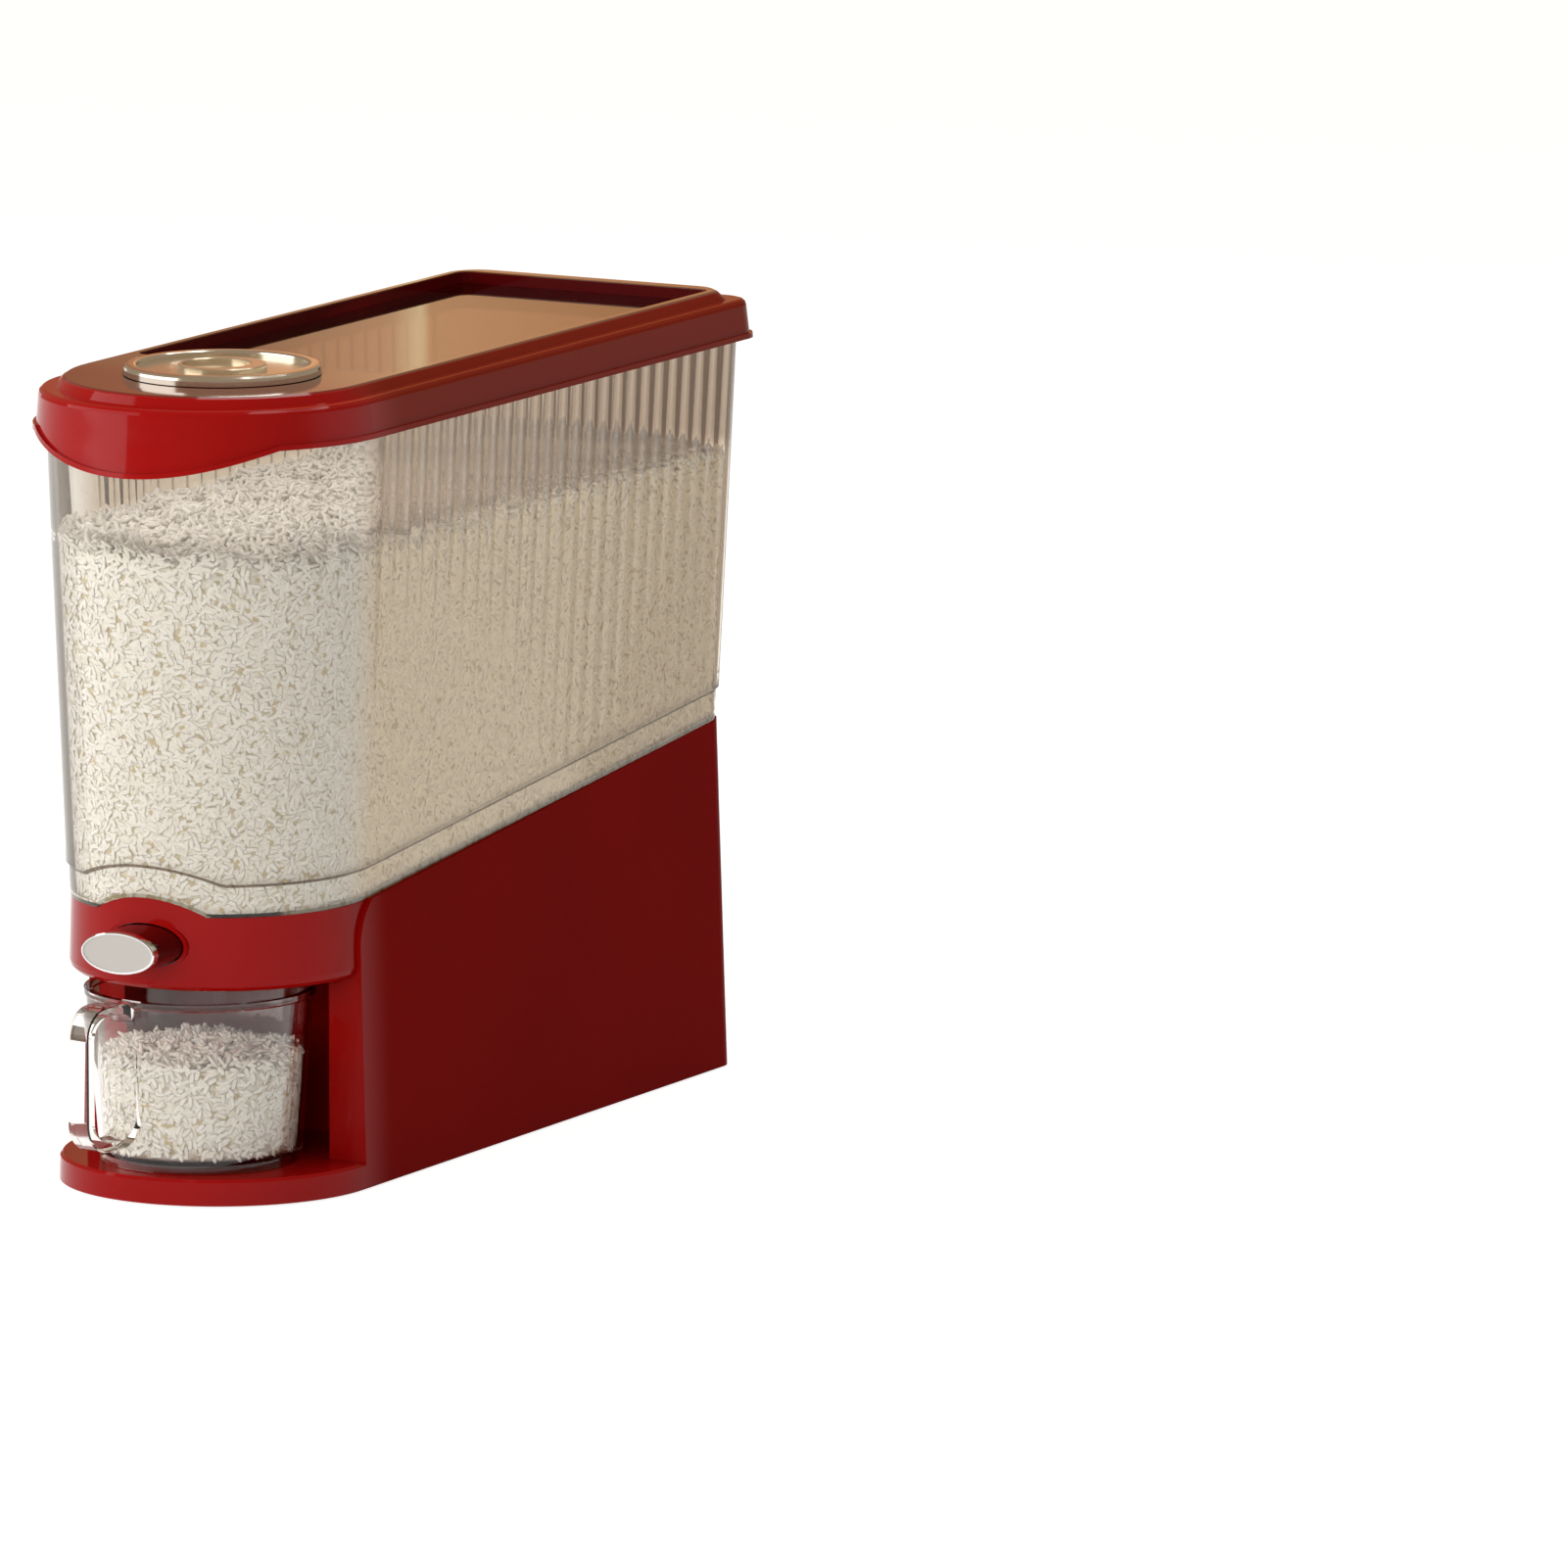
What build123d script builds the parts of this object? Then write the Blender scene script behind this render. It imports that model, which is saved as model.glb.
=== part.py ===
"""Countertop rice dispenser: a clear fluted hopper under a framed lid, on a red base.

A push button in the collar slides a gate under the hopper's outlet, and the grain falls
through a chute into a loose measuring cup that stands in the bay of the base.

Frame: millimetres, +Z up, +X to the right, -Y is the front (the round nose), origin at
the bottom centre of the whole object.
"""
import os
from math import cos, radians, sin, sqrt, tan

from build123d import *

os.makedirs("parts", exist_ok=True)

# Shares and counts that set the style of the outlines
DIAGONAL_SHARE = 1 - sqrt(0.5)
HALF_SHARE = 0.5
HANDLE_CORNER_SHARE = 0.38
FLUTE_SHARES = ((0.3, 1.0), (0.7, 1.0), (1.0, 0.0))
ROUND_SHARES = ((1.0, 0.0), (0.5, 0.134), (0.134, 0.5), (0.0, 1.0))
BOSS_SIDES = 8
FLUTES_PER_SIDE = 25
OVERRUN = 5.0

# Cup: a tapered beaker with a closed loop handle, turned a little to the left
cup_set_forward = 20.0
cup_rim_radius = 48.6
cup_foot_radius = 43.0
cup_height = 74.0
cup_wall = 2.0
cup_lip_reach = 0.9
cup_lip_height = 2.4
cup_floor_lift = 3.4
cup_floor_thickness = 2.0
cup_edge_round = 0.6
cup_stand_gap = 0.3
handle_turn = 12.0
handle_reach = 77.0
handle_strip = 4.0
handle_width = 12.0
handle_foot_lift = 11.5

# Base: plan of the housing at the floor and its drafts
base_half_width = 69.3
base_nose_shift = 2.5
base_rear_reach = 329.6
base_corner = 12.0
base_side_draft = 1.4
base_rear_draft = 1.0
base_nose_lean = 0.6
base_wall = 2.2
foot_plate_top = 12.0
foot_plate_round = 1.2
housing_lift = 0.8

# Seam between base and hopper: level collar, sloped rear, arch over the button
seam_level = 123.6
seam_bend_reach = 8.0
seam_slope = 5.9
seam_bend_radius = 120.0
arch_half_width = 27.0
arch_rise = 7.4
seam_gap = 0.3

# Collar band and bay
collar_inset = 2.0
collar_round = 4.5
bay_ceiling = 91.5
bay_side_band = 18.3
bay_front_reach = 1.0
bay_depth = 54.0
bay_corner = 14.0
cheek_curve_start = 103.0
cheek_curve_reach = 36.0

# Hopper
hopper_side_set_in = 0.95
hopper_nose_shift = 2.2
hopper_rear_set_in = 4.0
hopper_corner = 11.0
hopper_draft = 2.3
lid_line = 324.6
hopper_wall = 3.5
flute_depth = 0.9
flute_front_reach = 12.0
flute_rear_margin = 3.0
step_rise = 13.8
skirt_inset = 1.2
tub_inset = 4.6
tub_wall = 1.8
ledge_thickness = 2.2
floor_thickness = 2.5
floor_slope = 7.0
funnel_level = 109.5
nose_floor_reach = 36.0
rim_inset = 1.5

# Outlet, gate and chute
outlet_half_width = 20.0
outlet_length = 12.0
outlet_set_forward = 15.0
outlet_wall = 2.4
gasket_thickness = 1.2
gasket_gap = 0.1
gate_half_width = 24.0
gate_thickness = 2.4
gate_clearance = 0.3
gate_travel = 14.0
gate_lap = 5.0
gate_frame_rail = 7.0
gate_frame_floor = 2.4
gate_frame_roof = 2.6
gate_frame_end = 4.0
gate_frame_gap = 0.5
gate_tongue_half_width = 11.0
chute_wall = 1.6
chute_drop = 3.5
chute_flare = 3.0
chute_flange = 4.0
chute_flange_thickness = 1.6
chute_gap = 0.3

# Button: oval barrel with a bright rim around a plain face
button_half_width = 17.8
button_half_height = 8.9
button_level = 110.8
button_stand_out = 21.0
button_rim_width = 0.9
button_rim_depth = 4.0
button_face_dish = 0.5
button_face_thickness = 2.0
button_wall = 1.8
button_clearance = 0.5
socket_wall = 1.6
socket_depth = 8.0
button_flange = 0.8
button_flange_thickness = 1.6

# Return springs and their guide pins
spring_offset = 15.0
spring_radius = 2.8
spring_wire = 0.9
spring_length = 26.0
pin_radius = 1.5
pin_root = 3.0

# Lid
lid_overhang = 3.2
lid_side_lean = 1.4
lid_nose_overhang = 1.4
lid_rear_overhang = 7.5
lid_wall = 1.6
lid_skirt_height = 17.0
lid_plate = 3.0
lid_shoulder_round = 2.6
lip_reach = 1.4
lip_height = 2.2
lip_dip = 12.2
lip_dip_set_in = 16.6
ridge_rise = 4.4
ridge_set_in = 10.1
ridge_slope_reach = 3.2
ridge_rear_set_in = 12.0
ridge_corner = 15.0
ridge_round = 0.9
ridge_band = 4.0
ridge_rear_band = 8.0
recess_front_lap = 10.0
recess_corner = 6.0
window_ledge = 4.5
window_thickness = 2.4
window_drop = 5.4
window_gap = 0.3
window_gasket_thickness = 0.8
lid_gasket_width = 2.4
lid_gasket_gap = 0.2
lid_gasket_thickness = 2.0

# Desiccant cap in the lid's nose
cap_set_back = 1.7
cap_ring_radius = 42.0
cap_ring_width = 5.6
cap_ring_height = 4.4
cap_ring_base_gap = 0.3
cap_dish_depth = 2.6
cap_neck_radius = 34.0
cap_neck_wall = 2.0
cap_neck_clearance = 0.6
cap_neck_depth = 14.0
seat_ring_width = 2.4
grip_radius = 19.0
grip_hole_radius = 14.5
grip_hole_shift = 3.0
grip_height = 2.4
grip_edge = 0.5
basket_radius = 31.4
basket_depth = 16.0
basket_wall = 1.6
basket_slot_width = 2.6
basket_slot_length = 36.0
basket_slots = 7
basket_slot_pitch = 6.6
pack_gap = 0.6

# Bottom cover, its screws and the foot pads
cover_thickness = 2.2
cover_gap = 0.3
screw_head_radius = 3.2
screw_head_height = 1.2
screw_shank_radius = 1.4
screw_length = 9.0
boss_radius = 5.6
boss_height = 12.0
boss_side_set_in = 8.5
boss_reaches = (60.0, 190.0, 318.0)
pad_radius = 7.0
pad_recess = 1.0
pad_side_set_in = 20.0
pad_reaches = (-28.0, 298.0)

# Sizes worked out from the base up to the lid
bay_half_width = base_half_width - bay_side_band
seam_half_width = base_half_width - seam_level * tan(radians(base_side_draft)) - hopper_side_set_in
seam_rear_reach = base_rear_reach - seam_level * tan(radians(base_rear_draft)) - hopper_rear_set_in
hopper_spread = (lid_line - seam_level) * tan(radians(hopper_draft))
lid_half_width = seam_half_width + hopper_spread + lid_overhang
lid_top_half_width = lid_half_width - lid_side_lean
lid_nose_shift = hopper_nose_shift + lid_nose_overhang
lid_rear_reach = seam_rear_reach + hopper_spread + lid_rear_overhang
lid_corner = hopper_corner + lid_overhang
lid_deck = lid_line + lid_skirt_height
lip_dip_half_width = lid_half_width - lip_dip_set_in
ridge_top = lid_deck + ridge_rise
ridge_half_width = lid_half_width - ridge_set_in
ridge_rear_reach = lid_rear_reach - ridge_rear_set_in
recess_half_width = ridge_half_width - ridge_band
recess_front_reach = cap_set_back + cap_ring_radius - recess_front_lap
recess_rear_reach = ridge_rear_reach - ridge_rear_band

# Places worked out from the sizes
handle_front = handle_reach * cos(radians(handle_turn)) + handle_width / 2 * sin(radians(handle_turn))
front_reach = cup_set_forward + handle_front
rear_reach = lid_rear_reach + lip_reach
nose_y = (front_reach - rear_reach) / 2
seam_bend_y = nose_y + seam_bend_reach
outlet_y = nose_y - outlet_set_forward
socket_top = button_level + button_half_height + button_clearance + socket_wall
nose_floor_level = socket_top + seam_gap + floor_thickness
cup_y = nose_y - cup_set_forward
cap_y = nose_y + cap_set_back
cup_bottom = foot_plate_top + cup_stand_gap
far_y = nose_y + rear_reach + OVERRUN
front_y = nose_y - front_reach - OVERRUN
wide_x = lid_half_width + lip_reach + OVERRUN


def base_plan(z):
    """Half width, nose centre, rear and corner radius of the base's outside at a height."""
    half = base_half_width - z * tan(radians(base_side_draft))
    nose = nose_y - base_nose_shift + z * tan(radians(base_nose_lean))
    rear = nose_y + base_rear_reach - z * tan(radians(base_rear_draft))
    return half, nose, rear, base_corner


def hopper_plan(z):
    """The same four sizes of the hopper's outside, which widens upwards."""
    spread = (z - seam_level) * tan(radians(hopper_draft))
    return seam_half_width + spread, nose_y - hopper_nose_shift, nose_y + seam_rear_reach + spread, hopper_corner


def seam_rear_level(raise_z, reach):
    """Height of the sloped part of the seam at a distance behind its bend."""
    return seam_level + raise_z + reach * tan(radians(seam_slope))


def bullet(half, nose, rear, corner):
    """Plan outline with a round nose in front and two small corners behind."""
    cut = corner * DIAGONAL_SHARE
    with BuildLine() as outline:
        front = ThreePointArc((-half, nose), (0, nose - half), (half, nose))
        right = Line(front @ 1, (half, rear - corner))
        turn = ThreePointArc(right @ 1, (half - cut, rear - cut), (half - corner, rear))
        back = Line(turn @ 1, (corner - half, rear))
        turn_2 = ThreePointArc(back @ 1, (cut - half, rear - cut), (-half, rear - corner))
        Line(turn_2 @ 1, front @ 0)
    make_face(outline.edges())


def fluted_bullet(half, nose, rear, corner):
    """The bullet outline with upright flutes, as shallow outward bows, along both sides."""
    cut = corner * DIAGONAL_SHARE
    low = half - flute_depth
    first = nose_y + flute_front_reach
    last = rear - corner - flute_rear_margin
    pitch = (last - first) / FLUTES_PER_SIDE
    with BuildLine() as outline:
        front = ThreePointArc((-low, nose), (0, nose - half), (low, nose))
        edge = Line(front @ 1, (low, first))
        for index in range(FLUTES_PER_SIDE):
            for along, out in FLUTE_SHARES:
                edge = Line(edge @ 1, (low + out * flute_depth, first + (index + along) * pitch))
        edge = Line(edge @ 1, (low, rear - corner))
        edge = ThreePointArc(edge @ 1, (low - cut, rear - cut), (low - corner, rear))
        edge = Line(edge @ 1, (corner - low, rear))
        edge = ThreePointArc(edge @ 1, (cut - low, rear - cut), (-low, rear - corner))
        edge = Line(edge @ 1, (-low, last))
        for index in range(FLUTES_PER_SIDE):
            for along, out in FLUTE_SHARES:
                edge = Line(edge @ 1, (-low - out * flute_depth, last - (index + along) * pitch))
        Line(edge @ 1, front @ 0)
    make_face(outline.edges())


def tapered(plan, low_z, high_z, inset=0, draw=bullet, top_inset=None):
    """A body between two heights that follows a plan, drawn in by an inset at foot and top."""
    with BuildPart() as body:
        for z, set_in in ((low_z, inset), (high_z, inset if top_inset is None else top_inset)):
            half, nose, rear, corner = plan(z)
            with BuildSketch(Plane.XY.offset(z)):
                draw(half - set_in, nose, rear - set_in, max(corner - set_in, corner * HALF_SHARE))
        loft(ruled=True)
    return body.part


def rounded_end(plan, end_z, size, way, inset=0):
    """Bands that round a body's end at a height; the body lies upwards (way 1) or downwards (way -1)."""
    with BuildPart() as bands:
        for (low_in, low_up), (high_in, high_up) in zip(ROUND_SHARES, ROUND_SHARES[1:]):
            places = [(end_z + way * low_up * size, inset + low_in * size)]
            places += [(end_z + way * high_up * size, inset + high_in * size)]
            (low_z, low_inset), (high_z, high_inset) = sorted(places)
            add(tapered(plan, low_z, high_z, low_inset, bullet, high_inset))
    return bands.part


def under_seam(raise_z):
    """All the space under the seam, raised by a height, with the arch over the button."""
    level = seam_level + raise_z
    rear_level = seam_rear_level(raise_z, far_y - seam_bend_y)
    with BuildPart() as space:
        with BuildSketch(Plane.YZ):
            with BuildLine():
                FilletPolyline((front_y, level), (seam_bend_y, level), (far_y, rear_level), radius=seam_bend_radius)
                Polyline((far_y, rear_level), (far_y, -OVERRUN), (front_y, -OVERRUN), (front_y, level))
            make_face()
        extrude(amount=wide_x, both=True)
        grown = arch_half_width + raise_z * HALF_SHARE
        with BuildSketch(Plane.XZ.offset(-nose_y)):
            with BuildLine():
                ThreePointArc((-grown, level), (0, level + arch_rise), (grown, level))
                Polyline((grown, level), (grown, level - OVERRUN), (-grown, level - OVERRUN), (-grown, level))
            make_face()
        extrude(amount=front_reach + OVERRUN)
    return space.part


def over_floor(drop):
    """All the space over the hopper's sloped floor, lowered by a wall."""
    level = funnel_level - drop
    front_edge = outlet_y - outlet_length / 2
    rear_edge = outlet_y + outlet_length / 2
    shelf_level = nose_floor_level - drop
    shelf_edge = nose_y - nose_floor_reach
    rear_level = level + (far_y - rear_edge) * tan(radians(floor_slope))
    top = ridge_top + OVERRUN
    with BuildPart() as space:
        with BuildSketch(Plane.YZ):
            with BuildLine():
                Polyline(
                    (front_y, shelf_level), (shelf_edge, shelf_level), (front_edge, level), (rear_edge, level),
                    (far_y, rear_level), (far_y, top), (front_y, top), close=True,
                )
            make_face()
        extrude(amount=wide_x, both=True)
    return space.part


def front_zone():
    """The space in front of the cheeks: upright edge, then a curve back to the seam."""
    edge_y = nose_y + bay_front_reach
    top = seam_rear_level(OVERRUN, cheek_curve_reach)
    curve_top = seam_rear_level(0, cheek_curve_reach - seam_bend_reach)
    with BuildPart() as zone:
        with BuildSketch(Plane.YZ):
            with BuildLine():
                Line((edge_y, foot_plate_top), (edge_y, cheek_curve_start))
                curve = TangentArc((edge_y, cheek_curve_start), (nose_y + cheek_curve_reach, curve_top), tangent=(0, 1))
                Polyline(
                    curve @ 1, (nose_y + cheek_curve_reach, top), (front_y, top),
                    (front_y, foot_plate_top), (edge_y, foot_plate_top),
                )
            make_face()
        extrude(amount=wide_x, both=True)
    return zone.part


def bay_space(grow):
    """The cup's bay: open across the front, then a pocket with round rear corners."""
    low = foot_plate_top - grow
    height = bay_ceiling - foot_plate_top + 2 * grow
    half = bay_half_width + grow
    with BuildPart() as bay:
        with BuildSketch(Plane.XY.offset(low)):
            with Locations((0, nose_y + bay_front_reach + (bay_depth + grow) / 2 - OVERRUN / 2)):
                RectangleRounded(2 * half, bay_depth + grow + OVERRUN, bay_corner)
            with Locations((0, nose_y + bay_front_reach + grow)):
                Rectangle(2 * half, 2 * bay_corner, align=(Align.CENTER, Align.MIN))
            with Locations((0, nose_y + bay_front_reach + grow)):
                Rectangle(2 * wide_x, front_reach + OVERRUN, align=(Align.CENTER, Align.MAX))
        extrude(amount=height)
    return bay.part


def oval_prism(half_width, half_height, start_y, length):
    """An oval bar along +Y from a place, centred on the button's axis."""
    with BuildPart() as prism:
        with BuildSketch(Plane.XZ.offset(-start_y)):
            with Locations((0, button_level)):
                Ellipse(half_width, half_height)
        extrude(amount=-length)
    return prism.part


# Base housing: cheeks, collar band and foot plate in one moulding, open above and below
seam_top = seam_rear_level(OVERRUN, far_y - seam_bend_y)
outer_body = tapered(base_plan, housing_lift, seam_top)
collar_body = tapered(base_plan, bay_ceiling + collar_round, seam_top, collar_inset)
collar_edge = rounded_end(base_plan, bay_ceiling, collar_round, 1, collar_inset)
hollow_body = tapered(base_plan, 0, seam_top, base_wall + collar_inset)
low_seam = under_seam(0)
zone = front_zone()
bay = bay_space(0)
bay_shell = bay_space(base_wall)
collar_front = nose_y - base_nose_shift + button_level * tan(radians(base_nose_lean)) - base_plan(button_level)[0]
socket_start = collar_front + collar_inset
button_hole = oval_prism(
    button_half_width + button_clearance, button_half_height + button_clearance, front_y, socket_start - front_y + socket_depth,
)
socket_tube = oval_prism(
    button_half_width + button_clearance + socket_wall, button_half_height + button_clearance + socket_wall,
    socket_start + base_wall / 2, socket_depth - base_wall / 2,
)
bay_roof = bay_ceiling + base_wall
chute_hole_half_width = outlet_half_width + chute_flare + chute_wall + chute_gap
chute_hole_length = outlet_length + 2 * (chute_wall + chute_gap + chute_flare)
boss_places = [
    (side * (base_half_width - boss_side_set_in), nose_y + reach) for side in (-1, 1) for reach in boss_reaches
]

with BuildPart() as base_housing:
    add(outer_body)
    add(zone, mode=Mode.SUBTRACT)
    front_edges = base_housing.edges().filter_by_position(Axis.Z, foot_plate_top, foot_plate_top)
    chamfer(front_edges.sort_by(Axis.Y)[:1], length=foot_plate_round)
    add((collar_body + collar_edge) & zone)
    add(low_seam, mode=Mode.INTERSECT)
    add(hollow_body - bay_shell, mode=Mode.SUBTRACT)
    add(bay, mode=Mode.SUBTRACT)
    add(socket_tube)
    add(button_hole, mode=Mode.SUBTRACT)
    with Locations((0, outlet_y, bay_ceiling - OVERRUN)):
        Box(
            2 * chute_hole_half_width, chute_hole_length, base_wall + 2 * OVERRUN,
            align=(Align.CENTER, Align.CENTER, Align.MIN), mode=Mode.SUBTRACT,
        )
    with BuildSketch(Plane.XY.offset(housing_lift + cover_thickness + cover_gap)):
        with Locations(*boss_places):
            RegularPolygon(boss_radius, BOSS_SIDES)
    extrude(amount=boss_height)
    with Locations(*[(x, y, 0) for x, y in boss_places]):
        Cylinder(
            screw_shank_radius + gasket_gap, boss_height, align=(Align.CENTER, Align.CENTER, Align.MIN),
            mode=Mode.SUBTRACT,
        )
base_housing.part.label = "base_housing"
export_step(base_housing.part, "parts/base_housing.step")

# Bottom cover: a plate inside the housing's foot, held by countersunk screws
cover_body = tapered(base_plan, housing_lift, housing_lift + cover_thickness, base_wall + collar_inset + cover_gap)
pad_places = [
    (side * (base_half_width - pad_side_set_in), nose_y + reach) for side in (-1, 1) for reach in pad_reaches
]
with BuildPart() as bottom_cover:
    add(cover_body)
    with Locations(*[(x, y, housing_lift) for x, y in boss_places]):
        Cylinder(
            screw_head_radius + gasket_gap, screw_head_height, align=(Align.CENTER, Align.CENTER, Align.MIN),
            mode=Mode.SUBTRACT,
        )
        Cylinder(
            screw_shank_radius + gasket_gap, cover_thickness + OVERRUN,
            align=(Align.CENTER, Align.CENTER, Align.MIN), mode=Mode.SUBTRACT,
        )
    with Locations(*[(x, y, housing_lift) for x, y in pad_places]):
        Cylinder(
            pad_radius + gasket_gap, pad_recess, align=(Align.CENTER, Align.CENTER, Align.MIN), mode=Mode.SUBTRACT,
        )
bottom_cover.part.label = "bottom_cover"
export_step(bottom_cover.part, "parts/bottom_cover.step")

with BuildPart() as cover_screws:
    with Locations(*[(x, y, housing_lift) for x, y in boss_places]):
        Cylinder(screw_head_radius, screw_head_height, align=(Align.CENTER, Align.CENTER, Align.MIN))
        Cylinder(screw_shank_radius, screw_length, align=(Align.CENTER, Align.CENTER, Align.MIN))
cover_screws.part.label = "cover_screws"
export_step(cover_screws.part, "parts/cover_screws.step")

for index, (x, y) in enumerate(pad_places):
    with BuildPart() as foot_pad:
        with Locations((x, y, 0)):
            Cylinder(pad_radius, housing_lift + pad_recess, align=(Align.CENTER, Align.CENTER, Align.MIN))
        chamfer(foot_pad.edges().group_by(Axis.Z)[0], length=housing_lift * HALF_SHARE)
    foot_pad.part.label = f"foot_pad_{index + 1}"
    export_step(foot_pad.part, f"parts/foot_pad_{index + 1}.step")

# Chute: a flanged funnel through the bay's ceiling, under the gate
chute_top = bay_roof + chute_flange_thickness
chute_bottom = bay_ceiling - chute_drop


def chute_sketch(z, grow):
    """A rectangle around the outlet at a height."""
    with BuildSketch(Plane.XY.offset(z)) as section:
        with Locations((0, outlet_y)):
            Rectangle(2 * (outlet_half_width + grow), outlet_length + 2 * grow)
    return section.sketch


with BuildPart() as chute:
    with BuildSketch(Plane.XY.offset(bay_roof)):
        with Locations((0, outlet_y)):
            RectangleRounded(
                2 * (chute_hole_half_width + chute_flange), chute_hole_length + 2 * chute_flange, chute_flange * HALF_SHARE,
            )
    extrude(amount=chute_flange_thickness)
    with BuildSketch(Plane.XY.offset(chute_bottom)):
        with Locations((0, outlet_y)):
            Rectangle(2 * (chute_hole_half_width - chute_gap), chute_hole_length - 2 * chute_gap)
    extrude(amount=chute_top - chute_bottom)
    add(
        loft([chute_sketch(chute_bottom, chute_flare), chute_sketch(chute_top, gate_clearance)], mode=Mode.PRIVATE),
        mode=Mode.SUBTRACT,
    )
chute.part.label = "discharge_chute"
export_step(chute.part, "parts/discharge_chute.step")

# Gate frame: a box of rails that carries the sliding gate between the chute and the outlet
gate_bottom = chute_top + gate_frame_floor + gate_clearance
gate_top = gate_bottom + gate_thickness
frame_top = gate_top + gate_clearance + gate_frame_roof
gate_window_y = outlet_y - gate_travel
gate_front = gate_window_y - outlet_length / 2 - gate_lap
gate_rear = outlet_y + outlet_length / 2 + gate_lap
frame_front = outlet_y - outlet_length / 2 - gate_travel
frame_rear = gate_rear + spring_length + gate_frame_end
frame_half = gate_half_width + gate_clearance + gate_frame_rail
frame_length = frame_rear - frame_front
gate_middle = (gate_bottom + gate_top) / 2
pin_length = spring_length - gate_travel + gate_frame_end / 2 - pin_root
with BuildPart() as gate_frame:
    with Locations((0, frame_front, chute_top)):
        Box(2 * frame_half, frame_length, frame_top - chute_top, align=(Align.CENTER, Align.MIN, Align.MIN))
    with Locations((0, frame_front - OVERRUN, gate_bottom - gate_clearance)):
        Box(
            2 * (gate_half_width + gate_clearance), frame_length - gate_frame_end + OVERRUN,
            gate_thickness + 2 * gate_clearance, align=(Align.CENTER, Align.MIN, Align.MIN), mode=Mode.SUBTRACT,
        )
    with Locations((0, outlet_y, chute_top - OVERRUN)):
        Box(
            2 * (outlet_half_width + gate_clearance), outlet_length + 2 * gate_clearance,
            frame_top - chute_top + 2 * OVERRUN, align=(Align.CENTER, Align.CENTER, Align.MIN), mode=Mode.SUBTRACT,
        )
    with Locations((0, frame_rear - gate_frame_end, chute_top - OVERRUN)):
        Box(
            2 * (spring_offset + spring_radius + gate_clearance), spring_length,
            frame_top - chute_top + 2 * OVERRUN, align=(Align.CENTER, Align.MAX, Align.MIN), mode=Mode.SUBTRACT,
        )
    chamfer(gate_frame.edges().filter_by(Axis.Z).group_by(Axis.Y)[-1], length=gate_frame_end * HALF_SHARE)
    for side in (-1, 1):
        with Locations((side * spring_offset, frame_rear - gate_frame_end / 2, gate_middle)):
            Cylinder(pin_radius, pin_length, rotation=(90, 0, 0), align=(Align.CENTER, Align.CENTER, Align.MIN))
gate_frame.part.label = "gate_frame"
export_step(gate_frame.part, "parts/gate_frame.step")

frame_screw_places = [
    (side * (frame_half - gate_frame_rail / 2), y)
    for side in (-1, 1) for y in (frame_front + gate_frame_rail, frame_rear - gate_frame_rail)
]
with BuildPart() as gate_frame_screws:
    with Locations(*[(x, y, frame_top) for x, y in frame_screw_places]):
        Cylinder(screw_head_radius, screw_head_height, align=(Align.CENTER, Align.CENTER, Align.MIN))
gate_frame_screws.part.label = "gate_frame_screws"
export_step(gate_frame_screws.part, "parts/gate_frame_screws.step")

# Gate slide: a plate with a window one stroke in front of the outlet, and a tongue to the button
button_front = collar_front - button_stand_out
barrel_front = button_front + button_rim_depth
barrel_rear = frame_front - gate_travel - gate_frame_gap
socket_end = socket_start + socket_depth
with BuildPart() as gate_slide:
    with Locations((0, gate_front, gate_bottom)):
        Box(2 * gate_half_width, gate_rear - gate_front, gate_thickness, align=(Align.CENTER, Align.MIN, Align.MIN))
    fillet(gate_slide.edges().filter_by(Axis.Z), radius=gate_lap * HALF_SHARE)
    with Locations((0, gate_front + gate_lap * HALF_SHARE, gate_bottom)):
        Box(
            2 * gate_tongue_half_width, gate_front + gate_lap * HALF_SHARE - socket_end - seam_gap, gate_thickness,
            align=(Align.CENTER, Align.MAX, Align.MIN),
        )
    with Locations((0, gate_window_y, gate_bottom)):
        Box(
            2 * outlet_half_width, outlet_length, gate_thickness + OVERRUN,
            align=(Align.CENTER, Align.CENTER, Align.MIN), mode=Mode.SUBTRACT,
        )
gate_slide.part.label = "gate_slide"
export_step(gate_slide.part, "parts/gate_slide.step")

# Button: an oval barrel with a flange behind the socket and a foot that sits on the gate's tongue
with BuildPart() as button_barrel:
    add(oval_prism(button_half_width, button_half_height, barrel_front, barrel_rear - barrel_front))
    add(oval_prism(
        button_half_width + button_flange, button_half_height + button_flange, socket_end + seam_gap,
        button_flange_thickness,
    ))
    with Locations((0, barrel_rear, gate_top)):
        Box(
            2 * (gate_tongue_half_width - button_wall), barrel_rear - socket_end - seam_gap,
            button_level - button_half_height - gate_top + button_wall * 2, align=(Align.CENTER, Align.MAX, Align.MIN),
        )
    add(oval_prism(
        button_half_width - button_wall, button_half_height - button_wall, barrel_front + button_wall,
        barrel_rear - barrel_front,
    ), mode=Mode.SUBTRACT)
button_barrel.part.label = "button_barrel"
export_step(button_barrel.part, "parts/button_barrel.step")

with BuildPart() as button_rim:
    add(oval_prism(button_half_width, button_half_height, button_front, button_rim_depth))
    chamfer(button_rim.edges().group_by(Axis.Y)[0], length=button_rim_width * HALF_SHARE)
    add(oval_prism(
        button_half_width - button_rim_width, button_half_height - button_rim_width, button_front - OVERRUN,
        OVERRUN + button_face_dish + button_face_thickness,
    ), mode=Mode.SUBTRACT)
button_rim.part.label = "button_rim"
export_step(button_rim.part, "parts/button_rim.step")

with BuildPart() as button_face:
    add(oval_prism(
        button_half_width - button_rim_width, button_half_height - button_rim_width, button_front + button_face_dish,
        button_face_thickness,
    ))
button_face.part.label = "button_face"
export_step(button_face.part, "parts/button_face.step")

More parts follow.
